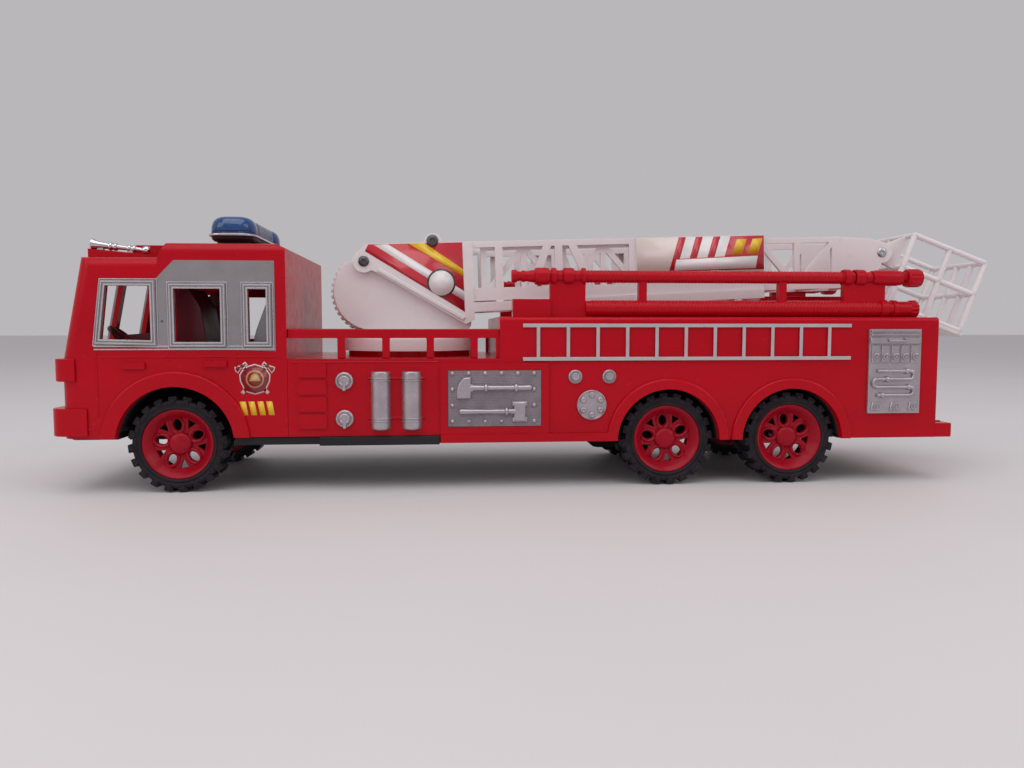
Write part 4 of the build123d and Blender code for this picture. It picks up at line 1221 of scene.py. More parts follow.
@dataclass
class ToolPanel:
    """The woven silver panel of the side bay, with its studs, axe and hammer."""

    side: Side
    tool_face: float = 1.3
    stud: Outline = ((0, 0.85), (0.3, 0.85), (0.5, 0.595), (0.75, 0.425), (0.85, POINT))
    waist: Outline = ((0, 0.95), (0.03, 1.1), (0.1, 1.0), (0.5, 0.8), (0.9, 0.95), (0.97, 1.05), (1, 0.9))
    band: Outline = ((0, 1.15), (0.25, 1.55), (0.75, 1.55), (1, 1.15))

    def build(self) -> None:
        """Build the ground and the tools in place of the plain panel."""
        node = f"tool_panel_{self.side.tag}"
        span = Span.of(node)
        form = Form(f"{node}_woven", Place.side(self.side)).paint(SILVER_WOVEN)
        form.slab((span.front, span.rear), (span.low, span.high), (SIDE_FACE, PANEL_FACE))
        form.paint(SILVER)
        ground = PANEL_FACE - SUNK
        columns = spaced(span.front + 1.5, span.rear - 2.6, 6)
        rows = spaced(span.low + 1.9, span.high - 1.1, 4)
        for height in rows:
            for station in columns if height in (rows[0], rows[-1]) else (columns[0], columns[-1]):
                form.drum(station, height, ground, self.stud, 18)
        self.build_axe(form, span, ground)
        self.build_hammer(form, span, ground)
        form.build(Slot.DETAIL_SILVER, node, 0.16, (node,))

    def haft(self, form: Form, run: Flat, height: float, ground: float, bands: Sequence[float]) -> None:
        """Add a round haft with its bands.

        Args:
            form: The panel.
            run: The haft's two ends.
            height: Its height.
            ground: The panel's face.
            bands: The bands' stations.
        """
        middle = ground + 0.45
        form.turned((run[0], height, middle), (run[1], height, middle), self.waist, 16)
        for station in bands:
            form.turned((station, height, middle), (station + 1.4, height, middle), self.band, 18)

    def build_axe(self, form: Form, span: Span, ground: float) -> None:
        """Add the fire axe, its blade to the front.

        Args:
            form: The panel.
            span: The panel's box.
            ground: The panel's face.
        """
        height = span.low + 0.69 * (span.high - span.low)
        a, b = span.front + 3.0, height
        blade = [(a, b - 3.8), (a - 0.1, b - 1.2), (a + 0.7, b + 1.6), (a + 2.4, b + 3.6),
                 (a + 4.9, b + 3.9), (a + 5.0, b + 1.3), (a + 6.0, b + 1.1), (a + 6.0, b - 1.1),
                 (a + 5.1, b - 1.4), (a + 4.9, b - 3.7)]
        form.prism(blade, ground, ground + self.tool_face, draw=0.35)
        self.haft(form, (a + 4.6, span.rear - 3.6), height, ground, (span.front + 12.7, span.front + 23.4))

    def build_hammer(self, form: Form, span: Span, ground: float) -> None:
        """Add the hammer, its head to the rear.

        Args:
            form: The panel.
            span: The panel's box.
            ground: The panel's face.
        """
        height = span.low + 0.3 * (span.high - span.low) - 0.6
        end = span.rear - 9.9
        self.haft(form, (span.front + 4.0, end + 1.0), height, ground, (span.front + 20.0,))
        form.slab((end, end + 4.2), (height - 3.6, height + 3.4), (ground, ground + self.tool_face), draw=0.4)
        for low in (height + 1.9, height - 3.8):
            form.slab((end - 0.6, end + 4.8), (low, low + 1.7), (ground, ground + 1.0), draw=0.3)


@dataclass
class SideGear:
    """The outlet caps, the air bottles, the round panel and the red ridges behind the bottles."""

    side: Side
    cap_station: float = 99.6
    cap_heights: Flat = (25.7, 39.0)
    bottle_stations: Flat = (112.2, 123.0)
    bottle_radius: float = 3.4
    bottle_run: Flat = (21.7, 42.3)
    disc: Flat = (187.3, 29.9)
    small_caps: Outline = ((181.3, 40.1), (193.6, 40.1))
    bosses: int = 6
    boss_reach: float = 3.6
    cap: Outline = ((0, 3.15), (0.8, 3.1), (1.1, 2.75), (1.1, 2.45), (0.8, 2.3), (0.8, 2.0), (1.5, 1.85),
                    (1.8, 1.5), (1.5, 1.2), (1.45, POINT))
    small_cap: Outline = ((0, 2.55), (0.7, 2.5), (1.0, 2.15), (0.6, 1.9), (0.6, 1.6), (1.5, 1.35),
                          (1.6, POINT))
    plate: Outline = ((0, 5.4), (0.7, 5.4), (0.95, 5.2), (0.95, 5.0), (0.7, 4.9), (0.7, POINT))
    boss: Outline = ((0, 1.2), (0.5, 1.15), (0.9, 0.8), (0.95, 0.5), (0.7, 0.4), (0.7, POINT))

    def build(self, replaced: Iterable[str] = ()) -> None:
        """Build one side's fittings.

        Args:
            replaced: The CAD nodes that this side's piece stands for.
        """
        form = Form(f"side_gear_{self.side.tag}", Place.side(self.side)).paint(SILVER)
        root = SIDE_FACE - SUNK
        for height in self.cap_heights:
            form.drum(self.cap_station, height, root, self.cap, 40)
            form.prism(rounded((self.cap_station - 0.55, self.cap_station + 0.55),
                               (height - 3.4, height - 0.3), 0.5), root, root + 1.8)
        for station in self.bottle_stations:
            self.build_bottle(form, station)
        for station, height in self.small_caps:
            form.drum(station, height, root, self.small_cap, 32)
        form.drum(*self.disc, root, self.plate, 48)
        for n in range(self.bosses):
            turn = 2 * pi * (n + 0.5) / self.bosses
            form.drum(self.disc[0] + self.boss_reach * cos(turn), self.disc[1] + self.boss_reach * sin(turn),
                      root + 0.6, self.boss, 20)
        form.build(Slot.DETAIL_SILVER, "body_shell", 0.1, replaced)
        lines = Form(f"strap_ridges_{self.side.tag}", Place.side(self.side)).paint(RED)
        root = SIDE_FACE - 0.3
        for height in (25.9, 39.9):
            lines.slab((107.6, 127.8), (height - 0.45, height + 0.45), (root, SIDE_FACE + 0.45), draw=0.2)
        lines.slab((81.6, 132.4), (45.3, 45.8), (root, SIDE_FACE + 0.3), draw=0.2)
        lines.build(Slot.BODY_RED, "body_shell", 0.08)

    def build_bottle(self, form: Form, station: float) -> None:
        """Add one half-sunk bottle with a crowned top, a rounded foot and two double bands.

        Args:
            form: The side's fittings.
            station: The bottle's middle.
        """
        low, high = self.bottle_run
        length = high - low
        radius = self.bottle_radius
        shape = [(0, 0.8 * radius), (0.02, 0.94 * radius), (0.06, radius), (0.95, radius),
                 (0.985, 0.97 * radius), (1.0, 0.88 * radius)]
        form.turned((station, low, SIDE_FACE), (station, high, SIDE_FACE), shape, 36)
        for share in (0.14, 0.83):
            for shift in (0, 0.9):
                height = low + share * length + shift
                form.turned((station, height, SIDE_FACE), (station, height + 0.55, SIDE_FACE),
                            [(0, radius), (0.2, radius + 0.28), (0.8, radius + 0.28), (1, radius)], 36)


@dataclass
class Locker:
    """The silver locker panel at the rear of each side."""

    side: Side
    doors: int = 5
    slats: int = 2
    rows: int = 4
    row_pitch: float = 2.98
    knob: Outline = ((0, 1.35), (0.6, 1.3), (0.75, 1.0), (0.4, 0.85), (0.4, 0.55), (0.9, 0.4), (0.9, POINT))
    gauge: Outline = ((0, 1.4), (0.55, 1.3), (0.55, 1.0), (0.25, 0.85), (0.25, 0.5), (0.8, 0.35),
                      (0.8, POINT))
    coupling: Outline = ((0, 0.8), (0.2, 1.15), (0.8, 1.15), (1, 0.8))

    def build(self, replaced: Iterable[str] = ()) -> None:
        """Build the panel with its slats, handle, doors, pipe and gauges.

        Args:
            replaced: The CAD nodes that this side's piece stands for.
        """
        span = Span.of("locker_panels")
        form = Form(f"locker_panel_{self.side.tag}", Place.side(self.side)).paint(SILVER)
        face = PANEL_FACE
        form.slab((span.front, span.rear), (span.low, span.high), (SIDE_FACE - SUNK, face))
        left, right = span.front + 0.6, span.rear - 0.6
        for n in range(self.slats):
            height = span.high - 0.2 - 1.45 * n
            form.slab((left, right), (height - 0.95, height), (face - 0.1, face + 0.75), draw=0.25)
        shelf = span.high - 5.5
        form.slab((left - 0.3, right + 0.3), (shelf, shelf + 2.4), (face - 0.1, face + 0.8), draw=0.25)
        middle = (left + right) / 2
        form.pipe([(middle - 3.0, shelf + 2.1), (middle - 3.0, shelf + 1.2), (middle + 3.0, shelf + 1.2),
                   (middle + 3.0, shelf + 2.1)], face + 1.2, 0.45)
        self.build_doors(form, (left, right), shelf, face)
        self.build_pipe(form, (left, right), span.low, face)
        form.build(Slot.DETAIL_SILVER, "body_shell", 0.14, replaced)

    def build_doors(self, form: Form, run: Flat, top: float, face: float) -> None:
        """Add the row of narrow doors with their round knobs.

        Args:
            form: The panel.
            run: The row's two ends.
            top: The doors' top.
            face: The panel's face.
        """
        pitch = (run[1] - run[0]) / self.doors
        for n in range(self.doors):
            left = run[0] + pitch * n
            form.slab((left + 0.35, left + pitch - 0.35), (top - 7.0, top - 0.3),
                      (face - SUNK, face + 0.55), draw=0.25)
            form.drum(left + pitch / 2, top - 4.7, face + 0.4, self.knob, 20)

    def build_pipe(self, form: Form, run: Flat, low: float, face: float) -> None:
        """Add the folded pipe with its couplings and the three gauges below it.

        Args:
            form: The panel.
            run: The panel's two ends.
            low: The panel's foot.
            face: The panel's face.
        """
        left, right = run[0] + 2.6, run[1] - 3.5
        top, pitch = low + 15.65, self.row_pitch
        path: list[Flat] = []
        for n in range(self.rows):
            height = top - pitch * n
            near, centre, sign = (left, right, 1) if n % 2 == 0 else (right, left, -1)
            path.extend(((near, height), (centre, height)))
            if n < self.rows - 1:
                path.extend((centre + sign * pitch / 2 * sin(t), height - pitch / 2 * (1 - cos(t)))
                            for t in spaced(0, pi, 9)[1:-1])
        form.pipe(path, face + 0.4, 0.72, 12)
        for station, row in ((right - 2.2, 0), (left + 3.0, 1), (right - 1.4, 2), (left + 1.2, 3)):
            height = top - pitch * row
            form.turned((station, height, face + 0.4), (station + 1.3, height, face + 0.4), self.coupling, 14)
        for station in (run[0] + 2.4, (run[0] + run[1]) / 2 + 0.3, run[1] - 2.0):
            form.prism([(station - 2.0, low + 0.9), (station + 1.9, low + 0.9), (station + 1.5, low + 4.2),
                        (station - 1.3, low + 4.2)], face - SUNK, face + 0.5, draw=0.2)
            form.drum(station + 0.2, low + 2.5, face + 0.3, self.gauge, 22)


@dataclass
class HoseSide:
    """The ribbed skins, couplings and nozzle of one side's hose rack."""

    side: Side
    across: float = 33.2
    high: float = 76.2
    low: float = 64.5
    thin: Flat = (167.6, 294.2)
    low_run: Flat = (188.0, 296.0)
    pitch: float = 1.25
    flutes: int = 14
    high_rings: Outline = ((167.4, 5.1), (173.3, 1.8), (177.7, 3.8), (184.3, 1.6), (283.3, 2.6), (287.5, 3.9))
    nozzle: Outline = ((0, 1.3), (0, 2.3), (0.14, 2.4), (0.22, 1.9), (0.38, 1.7), (0.43, 2.1), (0.54, 2.1),
                       (0.6, 1.8), (0.9, 2.3), (1, 2.35), (1, 0.5))

    def build(self) -> None:
        """Build the skins over the plain hoses."""
        form = Form(f"hose_skins_{self.side.tag}", Place.side(self.side)).paint(RED)
        self.ribbed(form, self.thin, self.high, 2.13, 2.32)
        self.ribbed(form, self.low_run, self.low, 3.03, 3.22)
        for start, length in self.high_rings:
            self.ring(form, start, length, self.high, 3.15)
        self.ring(form, 294.5, 11.0, self.high, 2.95)
        for start, length, radius in ((297.4, 3.0, 3.7), (302.2, 2.2, 3.5)):
            self.ring(form, start, length, self.low, radius)
        self.knurled(form, 308.2, 313.2, self.high, 3.3)
        self.knurled(form, 309.2, 312.4, self.low, 3.3)
        form.turned((158.9, self.high, self.across), (167.8, self.high, self.across), self.nozzle, 28)
        form.build(Slot.BODY_RED, f"hose_rack_{self.side.tag}", 0.08)

    def ribbed(self, form: Form, run: Flat, height: float, root: float, crest: float) -> None:
        """Add a finely ribbed length of hose.

        Args:
            form: The piece.
            run: The length's two ends.
            height: The hose's middle.
            root: The radius between the ribs.
            crest: The radius on the ribs.
        """
        count = int((run[1] - run[0]) / self.pitch)
        profile = []
        for n in range(count):
            profile.extend(((n + share) / count, radius) for share, radius in
                           ((0.0, root), (0.3, crest), (0.6, crest), (0.9, root)))
        form.turned((run[0], height, self.across), (run[1], height, self.across), profile, 20)

    def ring(self, form: Form, start: float, length: float, height: float, radius: float) -> None:
        """Add a coupling ring round a hose."""
        form.turned((start, height, self.across), (start + length, height, self.across),
                    [(0, radius - 0.5), (0.12, radius), (0.88, radius), (1, radius - 0.5)], 28)

    def knurled(self, form: Form, start: float, end: float, height: float, radius: float) -> None:
        """Add a hose's end cap with grip flutes.

        Args:
            form: The piece.
            start: Its front station.
            end: Its rear station.
            height: The hose's middle.
            radius: The cap's radius.
        """
        turns = [pi * n / self.flutes for n in range(2 * self.flutes)]
        reaches = [radius * (1.06 if n % 2 == 0 else 0.94) for n in range(2 * self.flutes)]
        form.loft([[(station, height + scale * reach * sin(t), self.across + scale * reach * cos(t))
                    for reach, t in zip(reaches, turns)]
                   for station, scale in ((start, 0.86), (start + 0.5, 1.0), (end - 0.5, 1.0), (end, 0.8))])


def fluted(outline: Sequence[Flat], pitch: float, depth: float) -> list[Flat]:
    """Give an outline fine upright flutes.

    Args:
        outline: The outline.
        pitch: The flutes' spacing.
        depth: The flutes' depth.

    Returns:
        The outline with four points to a flute.
    """
    lengths = [hypot(outline[n][0] - outline[n - 1][0], outline[n][1] - outline[n - 1][1])
               for n in range(len(outline))]
    total = sum(lengths)
    count = 4 * max(1, round(total / pitch))
    inner = inset(outline, depth)
    result = []
    n, passed = 0, 0.0
    for step in range(count):
        goal = total * step / count
        while passed + lengths[n] <= goal:
            passed += lengths[n]
            n += 1
        share = (goal - passed) / lengths[n]
        source = inner if step % 4 < 2 else outline
        (x0, y0), (x1, y1) = source[n - 1], source[n]
        result.append((x0 + (x1 - x0) * share, y0 + (y1 - y0) * share))
    return result


@dataclass
class RoofGear:
    """The horns and the light bar on the cab roof."""

    horn_y: float = 29.0
    horn_start: Flat = (11.5, 86.8)
    horn_end: Flat = (31.2, 84.7)
    horn_feet: Flat = (14.6, 24.6)
    bar: Flat = (49.7, 66.7)
    bar_middle: float = 58.2
    bar_half: float = 27.0
    bar_base: float = 88.9
    lens_base: float = 91.2
    horn_shape: Outline = (
        (0.06, POINT), (0.04, 1.0), (0.01, 1.7), (0.0, 1.95), (0.01, 2.1), (0.03, 2.05), (0.07, 1.6),
        (0.16, 1.25), (0.3, 1.0), (0.305, 1.4), (0.33, 1.5), (0.355, 1.4), (0.36, 1.0), (0.385, 1.0),
        (0.39, 1.35), (0.415, 1.4), (0.44, 1.3), (0.445, 0.9), (0.62, 0.75), (0.625, 1.15), (0.65, 1.25),
        (0.675, 1.15), (0.68, 0.75), (0.7, 0.75), (0.705, 1.1), (0.73, 1.2), (0.755, 1.1), (0.76, 0.72),
        (0.88, 0.75), (0.89, 1.3), (0.93, 1.5), (0.98, 1.4), (1.0, 1.0), (1.0, POINT))
    dome_steps: Outline = ((0.0, 0.0), (3.0, 0.15), (4.7, 0.7), (5.8, 1.7), (6.4, 2.9), (6.7, 4.4))
    middle_steps: Outline = ((0.0, 1.0), (3.4, 1.0), (4.8, 0.97), (5.7, 0.86), (6.1, 0.66))
    core: Outline = ((0, 4.2), (0.6, 4.0), (2.6, 1.6), (3.0, POINT))

    def build(self) -> None:
        """Build the horns, the tray and the lenses."""
        self.build_horns()
        self.build_tray()
        self.build_lenses()

    def build_horns(self) -> None:
        """Build two plated trumpets on small feet."""
        form = Form("horns_plated", Place.top()).paint(CHROME)
        for side in Side:
            across = side.value * self.horn_y
            form.turned((self.horn_start[0], across, self.horn_start[1]),
                        (self.horn_end[0], across, self.horn_end[1]), self.horn_shape)
            for station in self.horn_feet:
                height = self.horn_start[1] - 0.105 * (station - self.horn_start[0])
                form.slab((station - 1.0, station + 1.0), (across - 0.8, across + 0.8),
                          (height - 2.4, height - 0.5))
        form.build(Slot.BRIGHT_CHROME, "roof_horns", 0.08, ("roof_horns",))

    def build_tray(self) -> None:
        """Build the black foot and the plated lip round the lenses."""
        form = Form("light_bar_tray_plated", Place.top()).paint(BLACK)
        outline = rounded(self.bar, (-self.bar_half, self.bar_half), 5.0)
        form.stack([(inset(outline, draw), self.bar_base + lift)
                    for draw, lift in ((1.8, 0), (1.0, 0.7), (0.9, 1.6))])
        form.paint(CHROME)
        form.stack([(inset(outline, draw), self.bar_base + lift)
                    for draw, lift in ((0.7, 1.5), (0, 1.7), (0, 2.4), (0.3, 2.5))])
        form.build(Slot.BRIGHT_CHROME, "light_bar_tray", 0.12, ("light_bar_tray",))

    def build_lenses(self) -> None:
        """Build the two blue domes, the fluted smoky middle and the reflectors under them."""
        domes = Form("light_bar_domes_ribbed", Place.top()).paint(BLUE)
        for side in Side:
            across = sorted((side.value * 13.2, side.value * 26.5))
            outline = rounded((self.bar_middle - 8.0, self.bar_middle + 8.0), (across[0], across[1]), 6.0, 8)
            domes.stack([(inset(outline, draw), self.lens_base + lift) for lift, draw in self.dome_steps])
        domes.build(Slot.LENS_BLUE, "light_bar_domes", 0.0, ("light_bar_domes",))
        middle = Form("light_bar_middle_fluted", Place.top()).paint(SMOKE)
        centre = self.bar_middle
        flutes = fluted(rounded((centre - 7.0, centre + 7.0), (-12.9, 12.9), 1.0, 4), 1.6, 0.35)
        middle.stack([([(centre + (a - centre) * share, b) for a, b in flutes], self.lens_base + lift)
                      for lift, share in self.middle_steps])
        middle.build(Slot.LENS_CLEAR, "light_bar_middle", 0.0, ("light_bar_middle",))
        cores = Form("light_bar_cores", Place.top()).paint(CHROME)
        for across in (-19.6, -6.0, 6.0, 19.6):
            cores.drum(self.bar_middle, across, self.lens_base - SUNK, self.core, 24)
        cores.build(Slot.BRIGHT_CHROME, "light_bar_tray", 0.1)


@dataclass(frozen=True)
class Layer:
    """One colour of a sticker: its finish and its outlines."""

    finish: Finish
    outlines: tuple[Outline, ...]


def sticker(name: str, place: Place, face: float, like: str, layers: Sequence[Layer],
            window: Sequence[Flat] | None = None) -> None:
    """Lay a printed sticker on a face, each colour a film over the one below.

    Args:
        name: The piece's name.
        place: The frame of its outlines.
        face: The face that it lies on.
        like: The CAD node that carries it.
        layers: Its colours from the lowest up.
        window: The sticker's convex edge, which cuts all colours but the first.
    """
    form = Form(name, place)
    for n, layer in enumerate(layers):
        form.paint(layer.finish)
        for outline in layer.outlines:
            cut = clip(outline, window) if window and n else list(outline)
            form.prism(cut, face - 0.02, face + 0.03 * (n + 1))
    form.build(None, like, 0.0)


@dataclass
class LadderSide:
    """What one side of the ladder carries: heel sign, raised band, screws and banner."""

    side: Side
    heel_face: float = 17.2
    banner_face: float = 17.4
    sign: Outline = ((1.93, 6.2), (0.6, 3.72), (37.3, -20.1), (37.2, 6.2))
    white_stripe: Outline = ((3.98, 6.01), (37.46, -15.96), (37.36, -12.26), (9.33, 6.06))
    yellow_stripe: Outline = ((16.5, 6.46), (37.6, -6.85), (37.5, -4.15), (22.7, 6.44))
    mark: Solid = (28.76, -8.9, 5.4)

    def build(self) -> None:
        """Build the fittings of one side."""
        place = Place.ladder(self.side)
        ring = circle(*self.mark, 40)
        sticker(f"heel_sign_{self.side.tag}", place, self.heel_face, "ladder_base",
                (Layer(RED_FILM, (self.sign,)), Layer(WHITE_FILM, (self.white_stripe,)),
                 Layer(YELLOW_FILM, (self.yellow_stripe,)), Layer(DARK_FILM, (tuple(ring),)),
                 Layer(WHITE_FILM, (tuple(inset(ring, 0.7)),))), self.sign)
        self.build_banner(place)
        form = Form(f"heel_band_{self.side.tag}", place).paint(WHITE)
        form.prism([(4.9, -3.9), (36.6, -23.3), (37.4, -22.0), (5.6, -2.6)], self.heel_face - 0.2,
                   self.heel_face + 0.7, draw=0.25)
        form.build(Slot.LADDER_WHITE, "ladder_base", 0.1)
        head = Form(f"heel_screw_{self.side.tag}", place).paint(SCREW)
        screw(head, 26.0, 7.1, self.heel_face, 2.2, 0.9)
        head.build(Slot.PIN_STEEL, "ladder_base", 0.05)

    def build_banner(self, place: Place) -> None:
        """Build the banner's panel, slanted bars, yellow blocks and empty name plate.

        Args:
            place: The ladder's frame on this side.
        """
        low, high = -9.2, 6.2
        bars = tuple(((left, 6.6), (left - 4.2, -6.9), (left - 1.4, -6.9), (left + 2.8, 6.6))
                     for left in (121.0, 127.7, 134.7))
        field_shape = ((141.5, 6.6), (137.3, -6.9), (156.0, -6.9), (156.0, 6.6))
        blocks = (((143.8, 4.9), (141.9, -0.9), (146.0, -0.8), (147.8, 5.0)),
                  ((150.2, 5.0), (148.1, -0.7), (152.4, -0.6), (154.2, 5.1)))
        frame_shape = ((121.1, 6.2), (117.2, -9.2), (154.7, -9.2), (154.7, 6.2))
        plate = ((118.4, -6.9), (151.6, -6.7), (152.6, -1.25), (119.5, -2.1))
        window = ((104.2, low), (154.7, low), (154.7, high), (104.2, high))
        sticker(f"banner_{self.side.tag}", place, self.banner_face, "ladder_base",
                (Layer(CREAM_FILM, (window,)), Layer(WHITE_FILM, (frame_shape,)),
                 Layer(RED_FILM, (*bars, field_shape)), Layer(YELLOW_FILM, blocks),
                 Layer(RED_FILM, (plate,)), Layer(WHITE_FILM, (tuple(inset(plate, 0.35)),))), window)


@dataclass
class Pins:
    """The heel pin's domed screws and the basket pin's heads."""

    heel_face: float = 17.2
    tip: Flat = (204.4, -1.3)
    tip_face: float = 14.6

    def build(self) -> None:
        """Build the screw heads on both sides."""
        for side in Side:
            head = Form(f"heel_pin_{side.tag}", Place.ladder(side)).paint(SCREW)
            head.rod((0, 0, 0), (0, 0, self.heel_face + 0.1), 1.6, 24)
            screw(head, 0, 0, self.heel_face + 0.05, 2.0, 1.0)
            head.build(Slot.PIN_STEEL, "ladder_pin", 0.05, ("ladder_pin",) if side is Side.LEFT else ())
            tip = Form(f"basket_pin_head_{side.tag}", Place.ladder(side)).paint(STEEL)
            screw(tip, *self.tip, self.tip_face, 1.9, 0.8)
            tip.build(Slot.PIN_STEEL, "basket_pin", 0.05)


@dataclass
class Basket:
    """The rescue basket of round bars on a ribbed floor."""

    front: float = 8.0
    back: float = 42.0
    half: float = 18.0
    low: float = -20.5
    middle: float = -2.9
    high: float = 10.4
    bar: float = 1.15
    floor: float = 1.6
    ear: Flat = (10.7, 12.5)

    def build(self) -> None:
        """Build the basket in place of the plain one."""
        form = Form("rescue_basket_barred", Place.basket()).paint(WHITE)
        front, back, side = self.front + self.bar, self.back - self.bar, self.half - self.bar
        form.slab((self.front, self.back), (self.low, self.low + self.floor), (-self.half, self.half),
                  draw=0.3)
        for share in spaced(0.08, 0.92, 9):
            u = self.front + share * (self.back - self.front)
            form.slab((u - 0.4, u + 0.4), (self.low + self.floor - 0.2, self.low + self.floor + 0.5),
                      (-self.half + 2.4, self.half - 2.4))
        for height in (self.high, self.middle, self.low + self.floor + 0.5):
            corners = [(u, height, across) for u, across in
                       ((front, -side), (back, -side), (back, side), (front, side))]
            for n, corner in enumerate(corners):
                form.rod(corners[n - 1], corner, self.bar)
                form.turned((corner[0], height - self.bar, corner[2]),
                            (corner[0], height + self.bar, corner[2]),
                            [(0, 0.3), (0.15, 0.85), (0.5, self.bar), (0.85, 0.85), (1, 0.3)], 14)
        for across in (-side, -9.0, 0.0, 9.0, side):
            for u in (front, back):
                form.rod((u, self.low + 0.4, across), (u, self.high, across), self.bar)
        for across in (-side, side):
            form.rod((25.0, self.low + 0.4, across), (25.0, self.high, across), self.bar)
        for low, high in ((self.ear[0], self.ear[1]), (-self.ear[1], -self.ear[0])):
            form.prism([(0, -3.2), (9.1, -4.0), (9.1, 11.0), (0, 3.2)], low, high)
            form.prism(circle(0, 0, 3.2, 32), low, high)
        form.build(Slot.LADDER_WHITE, "rescue_basket", 0.2, ("rescue_basket",))


@dataclass
class DoorBadge:
    """The shield and the yellow bars on one cab door."""

    side: Side
    centre: Flat = (69.0, 39.8)
    face: float = 40.0
    half_shield: Outline = ((0.0, 5.3), (2.6, 4.5), (4.3, 3.1), (5.3, 1.5), (5.1, -0.8), (4.2, -2.7),
                                     (3.6, -4.3), (1.8, -4.9), (0.0, -5.4))
    axe: Outline = ((3.2, 6.1), (4.6, 4.9), (6.9, 4.2), (6.7, 3.0), (5.7, 1.9), (4.6, 3.6), (2.3, 4.9))
    haft: Outline = ((5.0, 4.6), (4.2, 5.3), (-4.9, -4.6), (-4.0, -5.3))
    bars: int = 4

    def build(self) -> None:
        """Build the badge and the bars."""
        half = list(self.half_shield)
        shield = half + [(-x, z) for x, z in reversed(half[1:-1])]
        pale = [shield] + [[(sign * x, z) for x, z in shape]
                           for shape in (self.axe, self.haft) for sign in (1, -1)]
        dark = [inset(shield, 0.4)] + [inset([(sign * x, z) for x, z in self.axe], 0.35) for sign in (1, -1)]
        gold = [circle(0, 0, 3.1, 32)]
        core = [circle(0, 0, 2.6, 32)]
        helmet = [[(-2.1, -0.7), (2.1, -0.7), (1.6, 0.2), (1.1, 1.4), (0.0, 1.9), (-1.1, 1.4), (-1.6, 0.2)]]
        layers = [Layer(finish, tuple(tuple(self.place(point) for point in shape) for shape in shapes))
                  for finish, shapes in ((CREAM_FILM, pale), (CRIMSON_FILM, dark), (GOLD_FILM, gold),
                                         (CRIMSON_FILM, core), (GOLD_FILM, helmet))]
        sticker(f"door_badge_{self.side.tag}", Place.side(self.side), self.face, "cab_shell", layers)
        bars = tuple(((left, 32.0), (left + 1.0, 27.2), (left + 2.9, 27.2), (left + 2.1, 32.0))
                     for left in spaced(63.6, 72.6, self.bars))
        sticker(f"door_bars_{self.side.tag}", Place.side(self.side), self.face, "cab_shell",
                (Layer(YELLOW_FILM, bars),))

    def place(self, point: Flat) -> Flat:
        """Move a point of the badge's own drawing onto the door."""
        return (self.centre[0] + point[0], self.centre[1] + point[1])


@dataclass
class FrontFace:
    """The headlamps' bezels and lenses, the grille's trim and the bumper's lines."""

    lamp_height: float = 43.1
    lamp_places: Flat = (23.0, 30.2)
    lamp_face: float = -1.3
    lens: Outline = ((0, 2.66), (0.5, 2.6), (0.9, 2.1), (1.15, 1.2), (1.2, POINT))

    def build(self) -> None:
        """Build the lamps, the grille's trim and the bumper's lines."""
        rings = Form("headlamp_bezels", Place.front()).paint(CHROME)
        lenses = Form("headlamp_lenses", Place.front()).paint(CLEAR)
        for side in Side:
            for across in self.lamp_places:
                middle = side.value * across
                outer, inner = (circle(middle, self.lamp_height, radius, 40) for radius in (3.3, 2.7))
                rings.border(outer, inner, self.lamp_face - 0.1, self.lamp_face + 1.0)
                rings.drum(middle, self.lamp_height, self.lamp_face - 0.05,
                           [(0, 2.7), (0.1, 2.6), (0.15, POINT)], 40)
                lenses.drum(middle, self.lamp_height, self.lamp_face + 0.1, self.lens, 40)
        rings.build(Slot.BRIGHT_CHROME, "headlamps", 0.1)
        lenses.build(Slot.LENS_CLEAR, "headlamps", 0.05, ("headlamps",))
        trim = Form("grille_trim", Place.front()).paint(SILVER)
        span = Span.of("front_grille")
        trim.border(rounded((span.right, span.left), (span.low, span.high), 1.0),
                    rounded((span.right + 1.2, span.left - 1.2), (span.low + 1.2, span.high - 1.2), 0.6),
                    -span.front - 0.1, -span.front + 0.5)
        for across in spaced(-19.5, 19.5, 7):
            trim.slab((across - 0.45, across + 0.45), (span.low + 0.8, span.high - 0.8),
                      (-span.front - 0.6, -span.front + 0.15), draw=0.1)
        trim.build(Slot.DETAIL_SILVER, "front_grille", 0.12)
        steps = Form("bumper_lines", Place.front()).paint(RED)
        bumper = Span.of("front_bumper")
        for height in (bumper.low + 2.0, bumper.high - 2.6):
            steps.slab((-33.0, 33.0), (height, height + 0.6), (-0.1, 0.35), draw=0.2)
        steps.build(Slot.BODY_RED, "front_bumper", 0.08)


